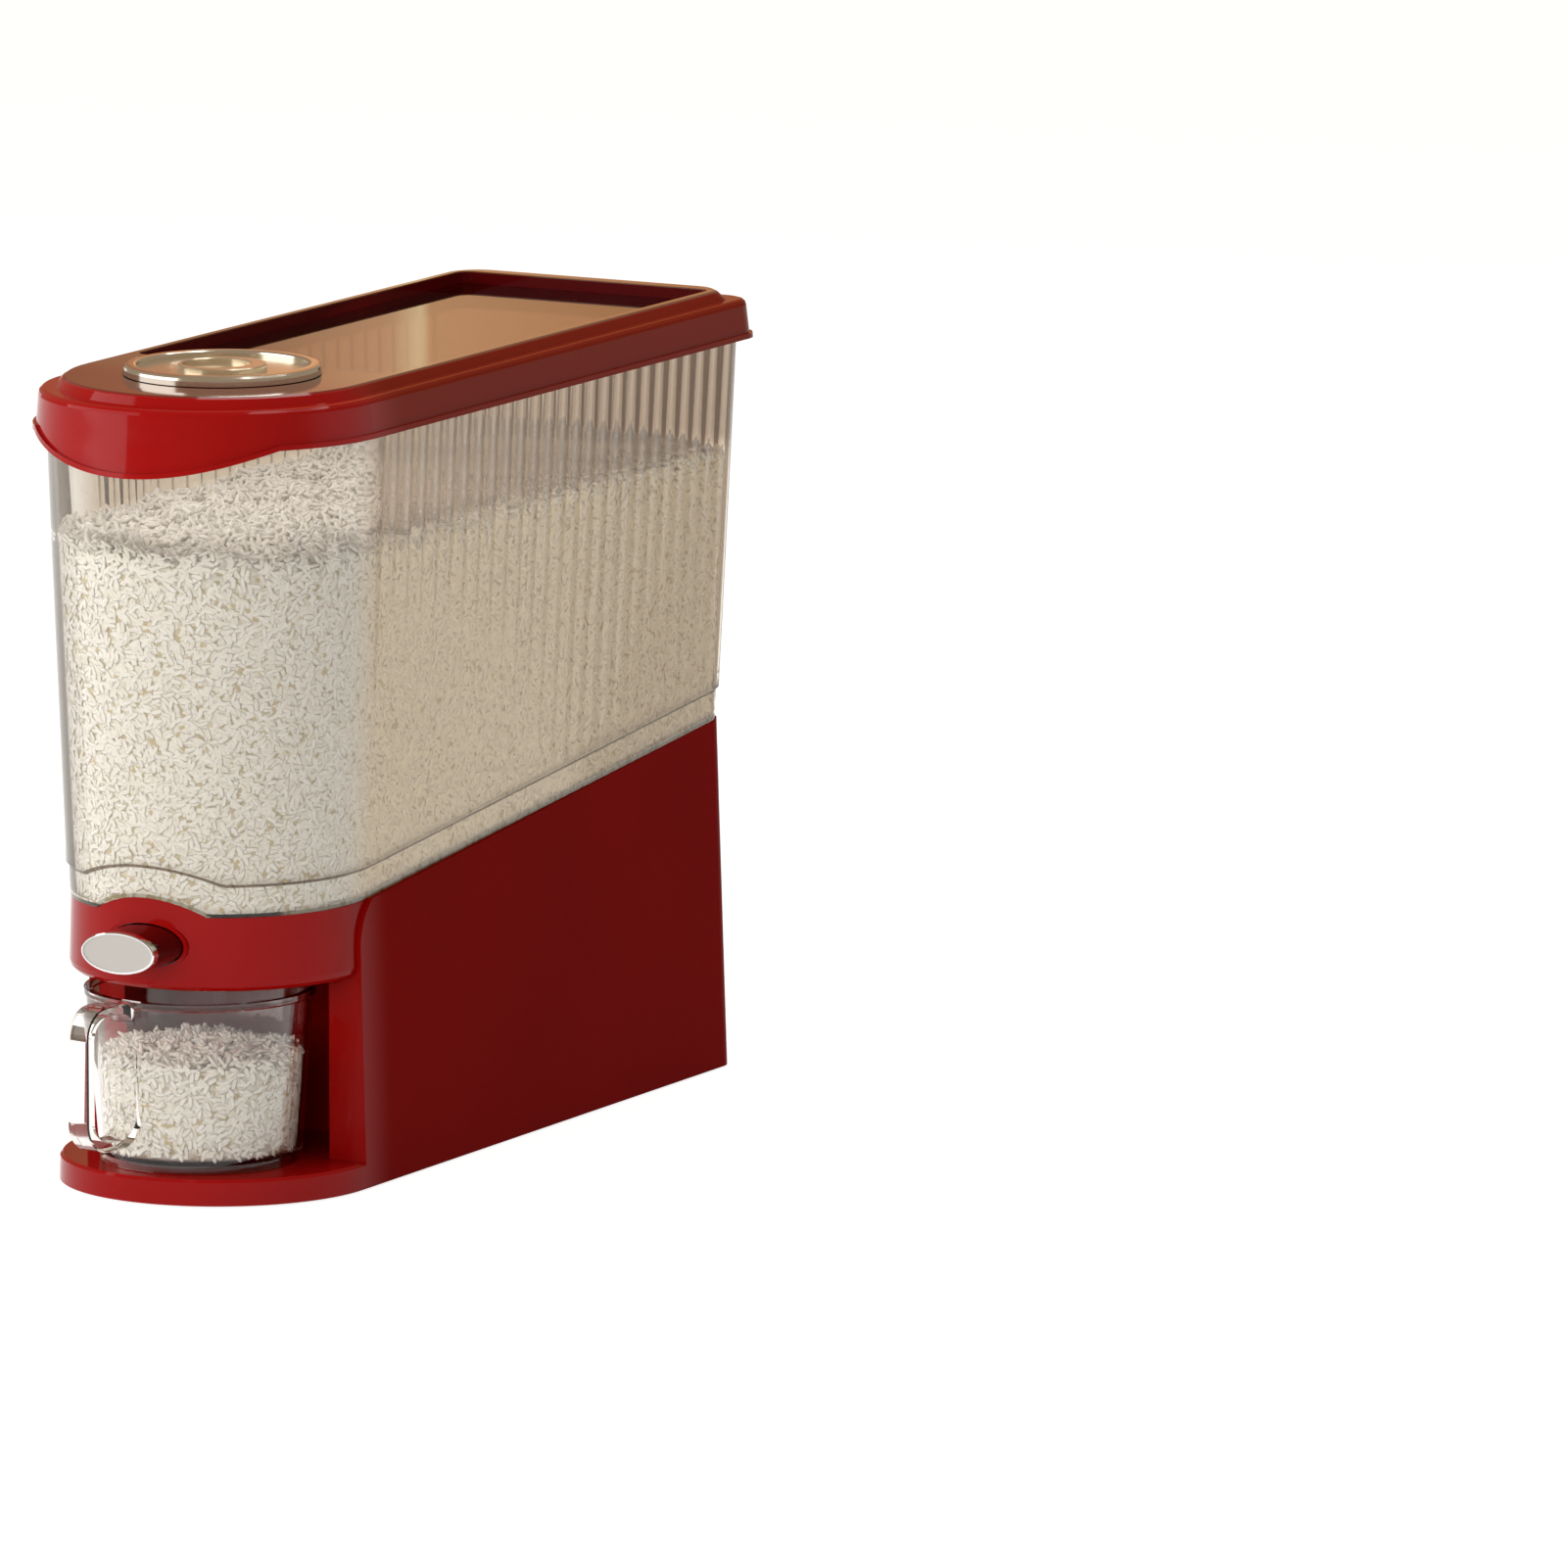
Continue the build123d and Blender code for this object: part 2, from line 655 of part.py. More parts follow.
# Return springs: two coils between the gate and the frame's rear wall, around their pins
for name, side in (("left", -1), ("right", 1)):
    with BuildPart() as return_spring:
        with Locations((side * spring_offset, frame_rear - gate_frame_end, gate_middle)):
            Cylinder(
                spring_radius, spring_length, rotation=(90, 0, 0), align=(Align.CENTER, Align.CENTER, Align.MIN),
            )
            Cylinder(
                spring_radius - spring_wire, spring_length, rotation=(90, 0, 0), mode=Mode.SUBTRACT,
                align=(Align.CENTER, Align.CENTER, Align.MIN),
            )
    return_spring.part.label = f"return_spring_{name}"
    export_step(return_spring.part, f"parts/return_spring_{name}.step")

# Hopper: fluted walls that stand on the seam, a sloped floor inside the base, and an outlet neck
neck_bottom = frame_top + gasket_thickness + 2 * gasket_gap
step_space = under_seam(step_rise)
skirt_space = under_seam(seam_gap)
floor_space = over_floor(0)
tub_space = over_floor(floor_thickness)
rim_bottom = lid_line + lip_height
rim_top = lid_deck - lid_plate - lid_gasket_thickness - 2 * lid_gasket_gap
low_z = neck_bottom
walls = tapered(hopper_plan, low_z, rim_bottom, 0, fluted_bullet)
skirt = tapered(hopper_plan, low_z, rim_bottom, skirt_inset)
tub = tapered(hopper_plan, low_z, rim_bottom, skirt_inset + tub_inset)
cavity = tapered(hopper_plan, low_z - OVERRUN, rim_bottom, hopper_wall)
tub_cavity = tapered(hopper_plan, low_z - OVERRUN, rim_bottom, skirt_inset + tub_inset + tub_wall)


def rim_plan(z):
    """The hopper's plan at its rim, the same at every height."""
    return hopper_plan(rim_bottom)


rim = tapered(rim_plan, rim_bottom - hopper_wall, rim_top, rim_inset)
rim_hole = tapered(rim_plan, rim_bottom, rim_top + OVERRUN, hopper_wall)
with BuildPart() as hopper:
    add((walls - step_space) + ((skirt & step_space) - skirt_space) + ((tub & skirt_space) & tub_space))
    add(rim)
    add((cavity & floor_space) - under_seam(seam_gap + ledge_thickness), mode=Mode.SUBTRACT)
    add(tub_cavity & floor_space, mode=Mode.SUBTRACT)
    add(rim_hole, mode=Mode.SUBTRACT)
    with Locations((0, outlet_y, neck_bottom)):
        Box(
            2 * (outlet_half_width + outlet_wall), outlet_length + 2 * outlet_wall, funnel_level - neck_bottom,
            align=(Align.CENTER, Align.CENTER, Align.MIN),
        )
    with Locations((0, outlet_y, neck_bottom - OVERRUN)):
        Box(
            2 * outlet_half_width, outlet_length, funnel_level - neck_bottom + 2 * OVERRUN,
            align=(Align.CENTER, Align.CENTER, Align.MIN), mode=Mode.SUBTRACT,
        )
hopper.part.label = "hopper"
export_step(hopper.part, "parts/hopper.step")

with BuildPart() as outlet_gasket:
    with BuildSketch(Plane.XY.offset(frame_top + gasket_gap)):
        with Locations((0, outlet_y)):
            Rectangle(2 * (outlet_half_width + outlet_wall), outlet_length + 2 * outlet_wall)
            Rectangle(2 * outlet_half_width, outlet_length, mode=Mode.SUBTRACT)
    extrude(amount=gasket_thickness)
outlet_gasket.part.label = "outlet_gasket"
export_step(outlet_gasket.part, "parts/outlet_gasket.step")

# Lid frame: skirt with a flared lip that dips at the nose, raised ridge, deck and window recess


def lid_plan(z):
    """The lid skirt's plan, which widens downwards."""
    grow = (lid_deck - z) / (lid_deck - lid_line) * (lid_half_width - lid_top_half_width)
    half = lid_top_half_width + grow
    return half, nose_y - lid_nose_shift, nose_y + lid_rear_reach - lid_half_width + half, lid_corner


def ridge_plan(z):
    """The raised ridge's plan, which narrows upwards."""
    grow = (ridge_top - z) / (ridge_top - lid_deck) * ridge_slope_reach
    return ridge_half_width + grow, nose_y, nose_y + ridge_rear_reach + grow, ridge_corner


def lip_space(raise_z):
    """All the space over the lip's line: level at the sides, an arc that dips at the nose."""
    level = lid_line + raise_z
    top = ridge_top + OVERRUN
    with BuildPart() as space:
        with Locations((0, 0, level)):
            Box(2 * wide_x, 2 * far_y, top - level, align=(Align.CENTER, Align.CENTER, Align.MIN))
        with BuildSketch(Plane.XZ.offset(-nose_y)):
            with BuildLine():
                ThreePointArc((-lip_dip_half_width, level), (0, level - lip_dip), (lip_dip_half_width, level))
                Line((lip_dip_half_width, level), (-lip_dip_half_width, level))
            make_face()
        extrude(amount=front_reach + OVERRUN)
    return space.part


def recess_block(low, high, inset):
    """A rounded block of the window recess, drawn in by an inset."""
    length = recess_rear_reach - recess_front_reach
    with BuildPart() as block:
        with BuildSketch(Plane.XY.offset(low)):
            with Locations((0, nose_y + recess_front_reach + length / 2)):
                RectangleRounded(2 * (recess_half_width - inset), length - 2 * inset, recess_corner)
        extrude(amount=high - low)
    return block.part


def disc(radius, low, high):
    """A round block about the cap's axis."""
    with BuildPart() as block:
        with Locations((0, cap_y, low)):
            Cylinder(radius, high - low, align=(Align.CENTER, Align.CENTER, Align.MIN))
    return block.part


lip_low = lid_line - lip_dip
skirt_body = tapered(lid_plan, lip_low, lid_deck - lid_shoulder_round)
shoulder = rounded_end(lid_plan, lid_deck, lid_shoulder_round, -1)
skirt_hole = tapered(lid_plan, lip_low - OVERRUN, lid_deck - lid_plate, lid_wall)
ridge_body = tapered(ridge_plan, lid_deck - lid_plate, ridge_top - ridge_round)
ridge_edge = tapered(ridge_plan, ridge_top - ridge_round, ridge_top, 0, bullet, ridge_round)
over_lip = lip_space(0)
under_lip = lip_space(lip_height)
window_top = ridge_top - window_drop
window_bottom = window_top - window_thickness
ledge_top = window_bottom - window_gasket_thickness
ledge_bottom = lid_deck - lid_plate
cap_hole_radius = cap_neck_radius + cap_neck_clearance
lip_body = tapered(lid_plan, lip_low, lid_line + lip_height, -lip_reach)
seat_radius = cap_ring_radius + cap_ring_base_gap
with BuildPart() as lid_frame:
    add(skirt_body)
    add(shoulder)
    add(lip_body - under_lip)
    add(over_lip, mode=Mode.INTERSECT)
    add(ridge_body)
    add(ridge_edge)
    add(skirt_hole, mode=Mode.SUBTRACT)
    add(recess_block(ledge_top, ridge_top + OVERRUN, 0), mode=Mode.SUBTRACT)
    add(recess_block(ledge_bottom - OVERRUN, ridge_top, window_ledge), mode=Mode.SUBTRACT)
    add(disc(seat_radius + seat_ring_width, ledge_bottom, ridge_top))
    add(disc(cap_hole_radius, ledge_bottom - OVERRUN, ridge_top + OVERRUN), mode=Mode.SUBTRACT)
lid_frame.part.label = "lid_frame"
export_step(lid_frame.part, "parts/lid_frame.step")

# Window: a flat clear pane on a thin gasket, cut round the cap's seat
seat_clear = seat_radius + seat_ring_width + window_gap
with BuildPart() as lid_window:
    add(recess_block(window_bottom, window_top, window_gap))
    add(disc(seat_clear, window_bottom - OVERRUN, window_top + OVERRUN), mode=Mode.SUBTRACT)
lid_window.part.label = "lid_window"
export_step(lid_window.part, "parts/lid_window.step")

with BuildPart() as window_gasket:
    add(recess_block(ledge_top, window_bottom, window_gap))
    add(recess_block(ledge_top - OVERRUN, window_bottom + OVERRUN, window_ledge), mode=Mode.SUBTRACT)
    add(disc(seat_clear, ledge_top - OVERRUN, window_bottom + OVERRUN), mode=Mode.SUBTRACT)
window_gasket.part.label = "window_gasket"
export_step(window_gasket.part, "parts/window_gasket.step")

# Lid gasket: a soft ring between the hopper's rim and the lid's plate
with BuildPart() as lid_gasket:
    add(tapered(rim_plan, rim_top + lid_gasket_gap, ledge_bottom - lid_gasket_gap, rim_inset + lid_gasket_gap))
    add(
        tapered(rim_plan, rim_top - OVERRUN, ledge_bottom + OVERRUN, rim_inset + lid_gasket_gap + lid_gasket_width),
        mode=Mode.SUBTRACT,
    )
lid_gasket.part.label = "lid_gasket"
export_step(lid_gasket.part, "parts/lid_gasket.step")

# Desiccant cap: rolled ring, dish with a crescent grip, and a neck below
ring_bottom = ridge_top + cap_ring_base_gap
ring_top = ring_bottom + cap_ring_height
dish_top = ring_top - cap_dish_depth
dish_radius = cap_ring_radius - cap_ring_width
ring_outer = cap_ring_height * HALF_SHARE
ring_inner = cap_dish_depth * HALF_SHARE
with BuildPart() as cap_ring:
    with BuildSketch(Plane.XZ):
        with BuildLine():
            Polyline(
                (dish_radius, ring_top - cap_dish_depth * HALF_SHARE), (dish_radius, ring_bottom),
                (cap_ring_radius, ring_bottom), *[
                    (cap_ring_radius - up * ring_outer, ring_top - set_in * ring_outer) for set_in, up in ROUND_SHARES
                ], *[
                    (dish_radius + set_in * ring_inner, ring_top - up * ring_inner) for set_in, up in ROUND_SHARES
                ],
            )
        make_face()
    revolve(axis=Axis.Z)
cap_ring_part = cap_ring.part.moved(Location((0, cap_y, 0)))
cap_ring_part.label = "cap_ring"
export_step(cap_ring_part, "parts/cap_ring.step")

with BuildPart() as cap_dish:
    add(disc(dish_radius, ring_bottom, dish_top))
cap_dish.part.label = "cap_dish"
export_step(cap_dish.part, "parts/cap_dish.step")

with BuildPart() as cap_grip:
    with BuildSketch(Plane.XY.offset(dish_top)):
        with Locations((0, cap_y)):
            Circle(grip_radius)
        with Locations((-grip_hole_shift, cap_y)):
            Circle(grip_hole_radius, mode=Mode.SUBTRACT)
    extrude(amount=grip_height)
    chamfer(cap_grip.edges().group_by(Axis.Z)[-1], length=grip_edge)
cap_grip.part.label = "cap_grip"
export_step(cap_grip.part, "parts/cap_grip.step")

neck_low = ring_bottom - cap_neck_depth
with BuildPart() as cap_neck:
    add(disc(cap_neck_radius, neck_low, ring_bottom))
    add(disc(cap_neck_radius - cap_neck_wall, neck_low - OVERRUN, ring_bottom + OVERRUN), mode=Mode.SUBTRACT)
cap_neck.part.label = "cap_neck"
export_step(cap_neck.part, "parts/cap_neck.step")

basket_high = ring_bottom - cap_ring_base_gap
basket_low = basket_high - basket_depth
with BuildPart() as desiccant_basket:
    add(disc(basket_radius, basket_low, basket_high))
    add(disc(basket_radius - basket_wall, basket_low + basket_wall, basket_high + OVERRUN), mode=Mode.SUBTRACT)
    with Locations((0, cap_y, basket_low)):
        with GridLocations(basket_slot_pitch, 0, basket_slots, 1):
            Box(basket_slot_width, basket_slot_length, basket_wall * 4, mode=Mode.SUBTRACT)
desiccant_basket.part.label = "desiccant_basket"
export_step(desiccant_basket.part, "parts/desiccant_basket.step")

with BuildPart() as desiccant_pack:
    add(disc(
        basket_radius - basket_wall - pack_gap, basket_low + basket_wall + gasket_gap, basket_high - pack_gap,
    ))
desiccant_pack.part.label = "desiccant_pack"
export_step(desiccant_pack.part, "parts/desiccant_pack.step")

# Measuring cup: a revolved wall with a lip and a raised floor, and a loop handle
cup_rim = cup_bottom + cup_height
floor_low = cup_bottom + cup_floor_lift
floor_high = floor_low + cup_floor_thickness
cup_taper = (cup_rim_radius - cup_foot_radius) / cup_height
with BuildPart() as cup_core:
    with BuildSketch(Plane.XZ):
        with BuildLine():
            Polyline(
                (0, floor_high), (cup_foot_radius - cup_wall + cup_taper * (floor_high - cup_bottom), floor_high),
                (cup_rim_radius - cup_wall, cup_rim + OVERRUN), (0, cup_rim + OVERRUN), close=True,
            )
        make_face()
    revolve(axis=Axis.Z)
with BuildPart() as cup_shell:
    with BuildSketch(Plane.XZ):
        with BuildLine():
            Polyline(
                (0, floor_low), (cup_foot_radius - cup_wall, floor_low), (cup_foot_radius - cup_wall, cup_bottom),
                (cup_foot_radius, cup_bottom), (cup_rim_radius, cup_rim - cup_lip_height - cup_lip_reach),
                (cup_rim_radius + cup_lip_reach, cup_rim - cup_lip_height), (cup_rim_radius + cup_lip_reach, cup_rim),
                (0, cup_rim), close=True,
            )
        make_face()
    revolve(axis=Axis.Z)
handle_low = cup_bottom + handle_foot_lift
loop_reach = handle_reach - cup_foot_radius
with BuildPart() as cup_handle:
    with BuildSketch(Plane.YZ.offset(-handle_width / 2)):
        with Locations((-(handle_reach + cup_foot_radius) / 2, (handle_low + cup_rim) / 2)):
            RectangleRounded(loop_reach, cup_rim - handle_low, loop_reach * HANDLE_CORNER_SHARE)
            RectangleRounded(
                loop_reach - 2 * handle_strip, cup_rim - handle_low - 2 * handle_strip,
                (loop_reach - 2 * handle_strip) * HANDLE_CORNER_SHARE, mode=Mode.SUBTRACT,
            )
    extrude(amount=handle_width)
    chamfer(cup_handle.edges().filter_by(GeomType.LINE).group_by(Axis.Y)[0], length=cup_edge_round)
turned_handle = cup_handle.part.rotate(Axis.Z, -handle_turn)
with BuildPart() as measuring_cup:
    add(cup_shell.part)
    add(turned_handle)
    add(cup_core.part, mode=Mode.SUBTRACT)
measuring_cup_part = measuring_cup.part.moved(Location((0, cup_y, 0)))
measuring_cup_part.label = "measuring_cup"
export_step(measuring_cup_part, "parts/measuring_cup.step")
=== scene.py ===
"""Looks of a countertop rice dispenser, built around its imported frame.

The casing, lid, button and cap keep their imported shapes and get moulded-plastic and bright
finishes. The clear hopper is a smooth fluted shell of its own. Hopper and measuring cup hold
rice: a filled body with a skin of single grains.

All sizes are in millimetres and turn into metres when a mesh is made. Frame: +Z up, -Y is
the front (the round nose), origin at the bottom centre of the object.
"""

import logging
import math
from dataclasses import dataclass, field
from enum import Enum

import bpy
import numpy as np
from mathutils import Matrix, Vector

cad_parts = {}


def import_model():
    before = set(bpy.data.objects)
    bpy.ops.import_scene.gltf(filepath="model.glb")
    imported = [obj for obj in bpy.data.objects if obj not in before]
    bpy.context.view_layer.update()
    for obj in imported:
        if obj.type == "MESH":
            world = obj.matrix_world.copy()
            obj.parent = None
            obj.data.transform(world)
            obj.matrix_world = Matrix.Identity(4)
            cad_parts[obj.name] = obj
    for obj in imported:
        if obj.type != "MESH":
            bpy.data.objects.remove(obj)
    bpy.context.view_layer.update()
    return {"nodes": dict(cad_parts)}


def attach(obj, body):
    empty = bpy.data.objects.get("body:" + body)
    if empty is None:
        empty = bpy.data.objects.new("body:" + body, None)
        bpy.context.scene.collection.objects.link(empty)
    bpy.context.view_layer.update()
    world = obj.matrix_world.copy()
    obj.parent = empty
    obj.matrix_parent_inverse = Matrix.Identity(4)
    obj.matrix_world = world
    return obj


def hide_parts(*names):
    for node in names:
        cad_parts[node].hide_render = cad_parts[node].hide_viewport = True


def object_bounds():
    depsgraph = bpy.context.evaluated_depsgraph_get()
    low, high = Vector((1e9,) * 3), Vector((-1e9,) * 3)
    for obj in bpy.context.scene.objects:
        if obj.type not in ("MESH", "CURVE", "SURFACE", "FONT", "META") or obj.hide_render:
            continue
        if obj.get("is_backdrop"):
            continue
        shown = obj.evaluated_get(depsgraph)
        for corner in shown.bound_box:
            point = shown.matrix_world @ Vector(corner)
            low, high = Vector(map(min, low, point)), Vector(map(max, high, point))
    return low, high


LOG = logging.getLogger("rice_dispenser")
TO_METRES = 0.001
NOSE_Y = -121.925
RECESS_HALF = 62.502
RECESS_REAR = 197.091


class Body(Enum):
    """The moving groups of the frame."""

    BASE = "base"
    BUTTON = "button"
    HOPPER = "hopper_body"
    LID = "lid"
    CAP = "cap"
    CUP = "cup"


class Slot(Enum):
    """The names of material slots of the frame."""

    HOPPER = "clear_hopper"
    GRAIN = "grain"


# ---- meshes ---------------------------------------------------------------


@dataclass(frozen=True)
class Surface:
    """A grid of points that closes on itself where asked.

    Attributes:
        points: Array (rows, columns, 3) of places in millimetres.
        closed_rows: True if the last row joins the first.
        closed_columns: True if the last column joins the first.
    """

    points: np.ndarray
    closed_rows: bool = False
    closed_columns: bool = True

    def faces(self) -> np.ndarray:
        """Corner numbers of the quads, in the order of rows, then columns."""
        rows, columns = self.points.shape[:2]
        last_row = rows if self.closed_rows else rows - 1
        last_column = columns if self.closed_columns else columns - 1
        row, column = np.meshgrid(np.arange(last_row), np.arange(last_column), indexing="ij")
        below, beside = (row + 1) % rows, (column + 1) % columns
        corners = np.stack(
            [row * columns + column, row * columns + beside, below * columns + beside, below * columns + column], -1
        )
        return corners.reshape(-1, 4)


def mesh_from_arrays(name: str, points: np.ndarray, faces: np.ndarray) -> bpy.types.Mesh:
    """Makes a mesh of equal-sided faces from whole arrays.

    Args:
        name: Name of the mesh.
        points: Array (n, 3) of places in millimetres.
        faces: Array (m, k) of corner numbers.

    Returns:
        The mesh, in metres.
    """
    mesh = bpy.data.meshes.new(name)
    sides = faces.shape[1]
    mesh.vertices.add(len(points))
    mesh.vertices.foreach_set("co", (points * TO_METRES).astype(np.float32).ravel())
    mesh.loops.add(faces.size)
    mesh.loops.foreach_set("vertex_index", faces.astype(np.int32).ravel())
    mesh.polygons.add(len(faces))
    mesh.polygons.foreach_set("loop_start", np.arange(0, faces.size, sides, dtype=np.int32))
    mesh.polygons.foreach_set("loop_total", np.full(len(faces), sides, dtype=np.int32))
    mesh.update(calc_edges=True)
    mesh.validate()
    return mesh


def place(name: str, mesh: bpy.types.Mesh, material: bpy.types.Material, body: Body) -> bpy.types.Object:
    """Puts a mesh into the scene with its finish, riding on a body.

    Args:
        name: Name of the piece.
        mesh: The finished mesh.
        material: The finish.
        body: The moving group that carries the piece.

    Returns:
        The new object.
    """
    piece = bpy.data.objects.new(name, mesh)
    bpy.context.scene.collection.objects.link(piece)
    mesh.materials.append(material)
    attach(piece, body.value)
    LOG.info("piece %s: %d faces on %s", name, len(mesh.polygons), body.value)
    return piece


def shade(mesh: bpy.types.Mesh, sharp_above: float) -> None:
    """Shades a mesh smooth, with edges kept sharp above an angle in degrees."""
    mesh.shade_smooth()
    mesh.set_sharp_from_angle(angle=math.radians(sharp_above))


# ---- finishes -------------------------------------------------------------


class NodeBoard:
    """Adds and links the nodes of one material."""

    def __init__(self, name: str) -> None:
        """Starts an empty material.

        Args:
            name: Name of the material.
        """
        self.material = bpy.data.materials.new(name)
        self.material.use_nodes = True
        self.tree = self.material.node_tree
        self.tree.nodes.clear()

    @classmethod
    def of(cls, material: bpy.types.Material) -> "NodeBoard":
        """The board of a material that already has its nodes."""
        board = cls.__new__(cls)
        board.material, board.tree = material, material.node_tree
        return board

    def add(self, kind: str, **settings: object) -> bpy.types.Node:
        """Adds a node.

        Args:
            kind: Blender's type name of the node.
            **settings: Properties to set on it.

        Returns:
            The new node.
        """
        node = self.tree.nodes.new(kind)
        for key, value in settings.items():
            setattr(node, key, value)
        return node

    def link(self, source: bpy.types.NodeSocket, target: bpy.types.NodeSocket) -> None:
        """Links an output to an input."""
        self.tree.links.new(source, target)

    def noise(self, scale: float, detail: float, stretch: tuple[float, float, float] = (1, 1, 1)) -> bpy.types.Node:
        """Adds a noise that follows the object's own coordinates.

        Args:
            scale: Number of lumps to a metre.
            detail: Levels of finer noise.
            stretch: Scale of the coordinates along each axis.

        Returns:
            The noise node.
        """
        coordinates = self.add("ShaderNodeTexCoord")
        mapping = self.add("ShaderNodeMapping")
        mapping.inputs["Scale"].default_value = stretch
        noise = self.add("ShaderNodeTexNoise")
        noise.inputs["Scale"].default_value = scale
        noise.inputs["Detail"].default_value = detail
        self.link(coordinates.outputs["Object"], mapping.inputs["Vector"])
        self.link(mapping.outputs["Vector"], noise.inputs["Vector"])
        return noise

    def ramp(self, source: bpy.types.NodeSocket, low: tuple, high: tuple, start: float = 0.3, end: float = 0.7) -> bpy.types.Node:
        """Adds a two-colour ramp driven by a value.

        Args:
            source: The value.
            low: Colour at and below start.
            high: Colour at and above end.
            start: Value where the ramp begins.
            end: Value where it ends.

        Returns:
            The ramp node.
        """
        ramp = self.add("ShaderNodeValToRGB")
        ramp.color_ramp.elements[0].position = start
        ramp.color_ramp.elements[1].position = end
        ramp.color_ramp.elements[0].color = (*low, 1.0)
        ramp.color_ramp.elements[1].color = (*high, 1.0)
        self.link(source, ramp.inputs["Fac"])
        return ramp

    def along(self, axis: str, start: float, end: float) -> bpy.types.NodeSocket:
        """A smooth 0 to 1 step along one of the object's own axes.

        Args:
            axis: "X", "Y" or "Z".
            start: Place in millimetres where the step begins.
            end: Place where it ends.

        Returns:
            The step's value.
        """
        coordinates = self.add("ShaderNodeTexCoord")
        split = self.add("ShaderNodeSeparateXYZ")
        step = self.add("ShaderNodeMapRange", interpolation_type="SMOOTHSTEP")
        step.inputs["From Min"].default_value = start * TO_METRES
        step.inputs["From Max"].default_value = end * TO_METRES
        self.link(coordinates.outputs["Object"], split.inputs["Vector"])
        self.link(split.outputs[axis], step.inputs["Value"])
        return step.outputs["Result"]

    def blend(self, share: bpy.types.NodeSocket, first: object, second: object) -> bpy.types.NodeSocket:
        """Mixes two colours by a share; each is a colour or the output of a node."""
        mix = self.add("ShaderNodeMix", data_type="RGBA")
        self.link(share, mix.inputs["Factor"])
        for socket, colour in ((mix.inputs[6], first), (mix.inputs[7], second)):
            if isinstance(colour, bpy.types.NodeSocket):
                self.link(colour, socket)
            else:
                socket.default_value = (*colour, 1.0)
        return mix.outputs[2]

    def range(self, share: bpy.types.NodeSocket, low: float, high: float) -> bpy.types.NodeSocket:
        """Turns a share into a value between two bounds."""
        spread = self.add("ShaderNodeMapRange")
        spread.inputs["To Min"].default_value = low
        spread.inputs["To Max"].default_value = high
        self.link(share, spread.inputs["Value"])
        return spread.outputs["Result"]

    def finish(self, shader: bpy.types.NodeSocket, inside: bpy.types.NodeSocket | None = None) -> bpy.types.Material:
        """Joins the last shader, and any shader of the inside, to the output and returns the material."""
        output = self.add("ShaderNodeOutputMaterial")
        self.link(shader, output.inputs["Surface"])
        if inside is not None:
            self.link(inside, output.inputs["Volume"])
        return self.material


def seen_directly(board: NodeBoard) -> bpy.types.NodeSocket:
    """1 for what the camera sees itself, in a mirror or through glass, and 0 for other light."""
    path = board.add("ShaderNodeLightPath")
    first = board.add("ShaderNodeMath", operation="MAXIMUM")
    second = board.add("ShaderNodeMath", operation="MAXIMUM")
    board.link(path.outputs["Is Camera Ray"], first.inputs[0])
    board.link(path.outputs["Is Glossy Ray"], first.inputs[1])
    board.link(first.outputs["Value"], second.inputs[0])
    board.link(path.outputs["Is Transmission Ray"], second.inputs[1])
    return second.outputs["Value"]


def scaled(colour: tuple[float, float, float], factor: float) -> tuple[float, float, float]:
    """A colour made lighter or darker by a factor, kept within 0 and 1."""
    return tuple(min(1.0, channel * factor) for channel in colour)


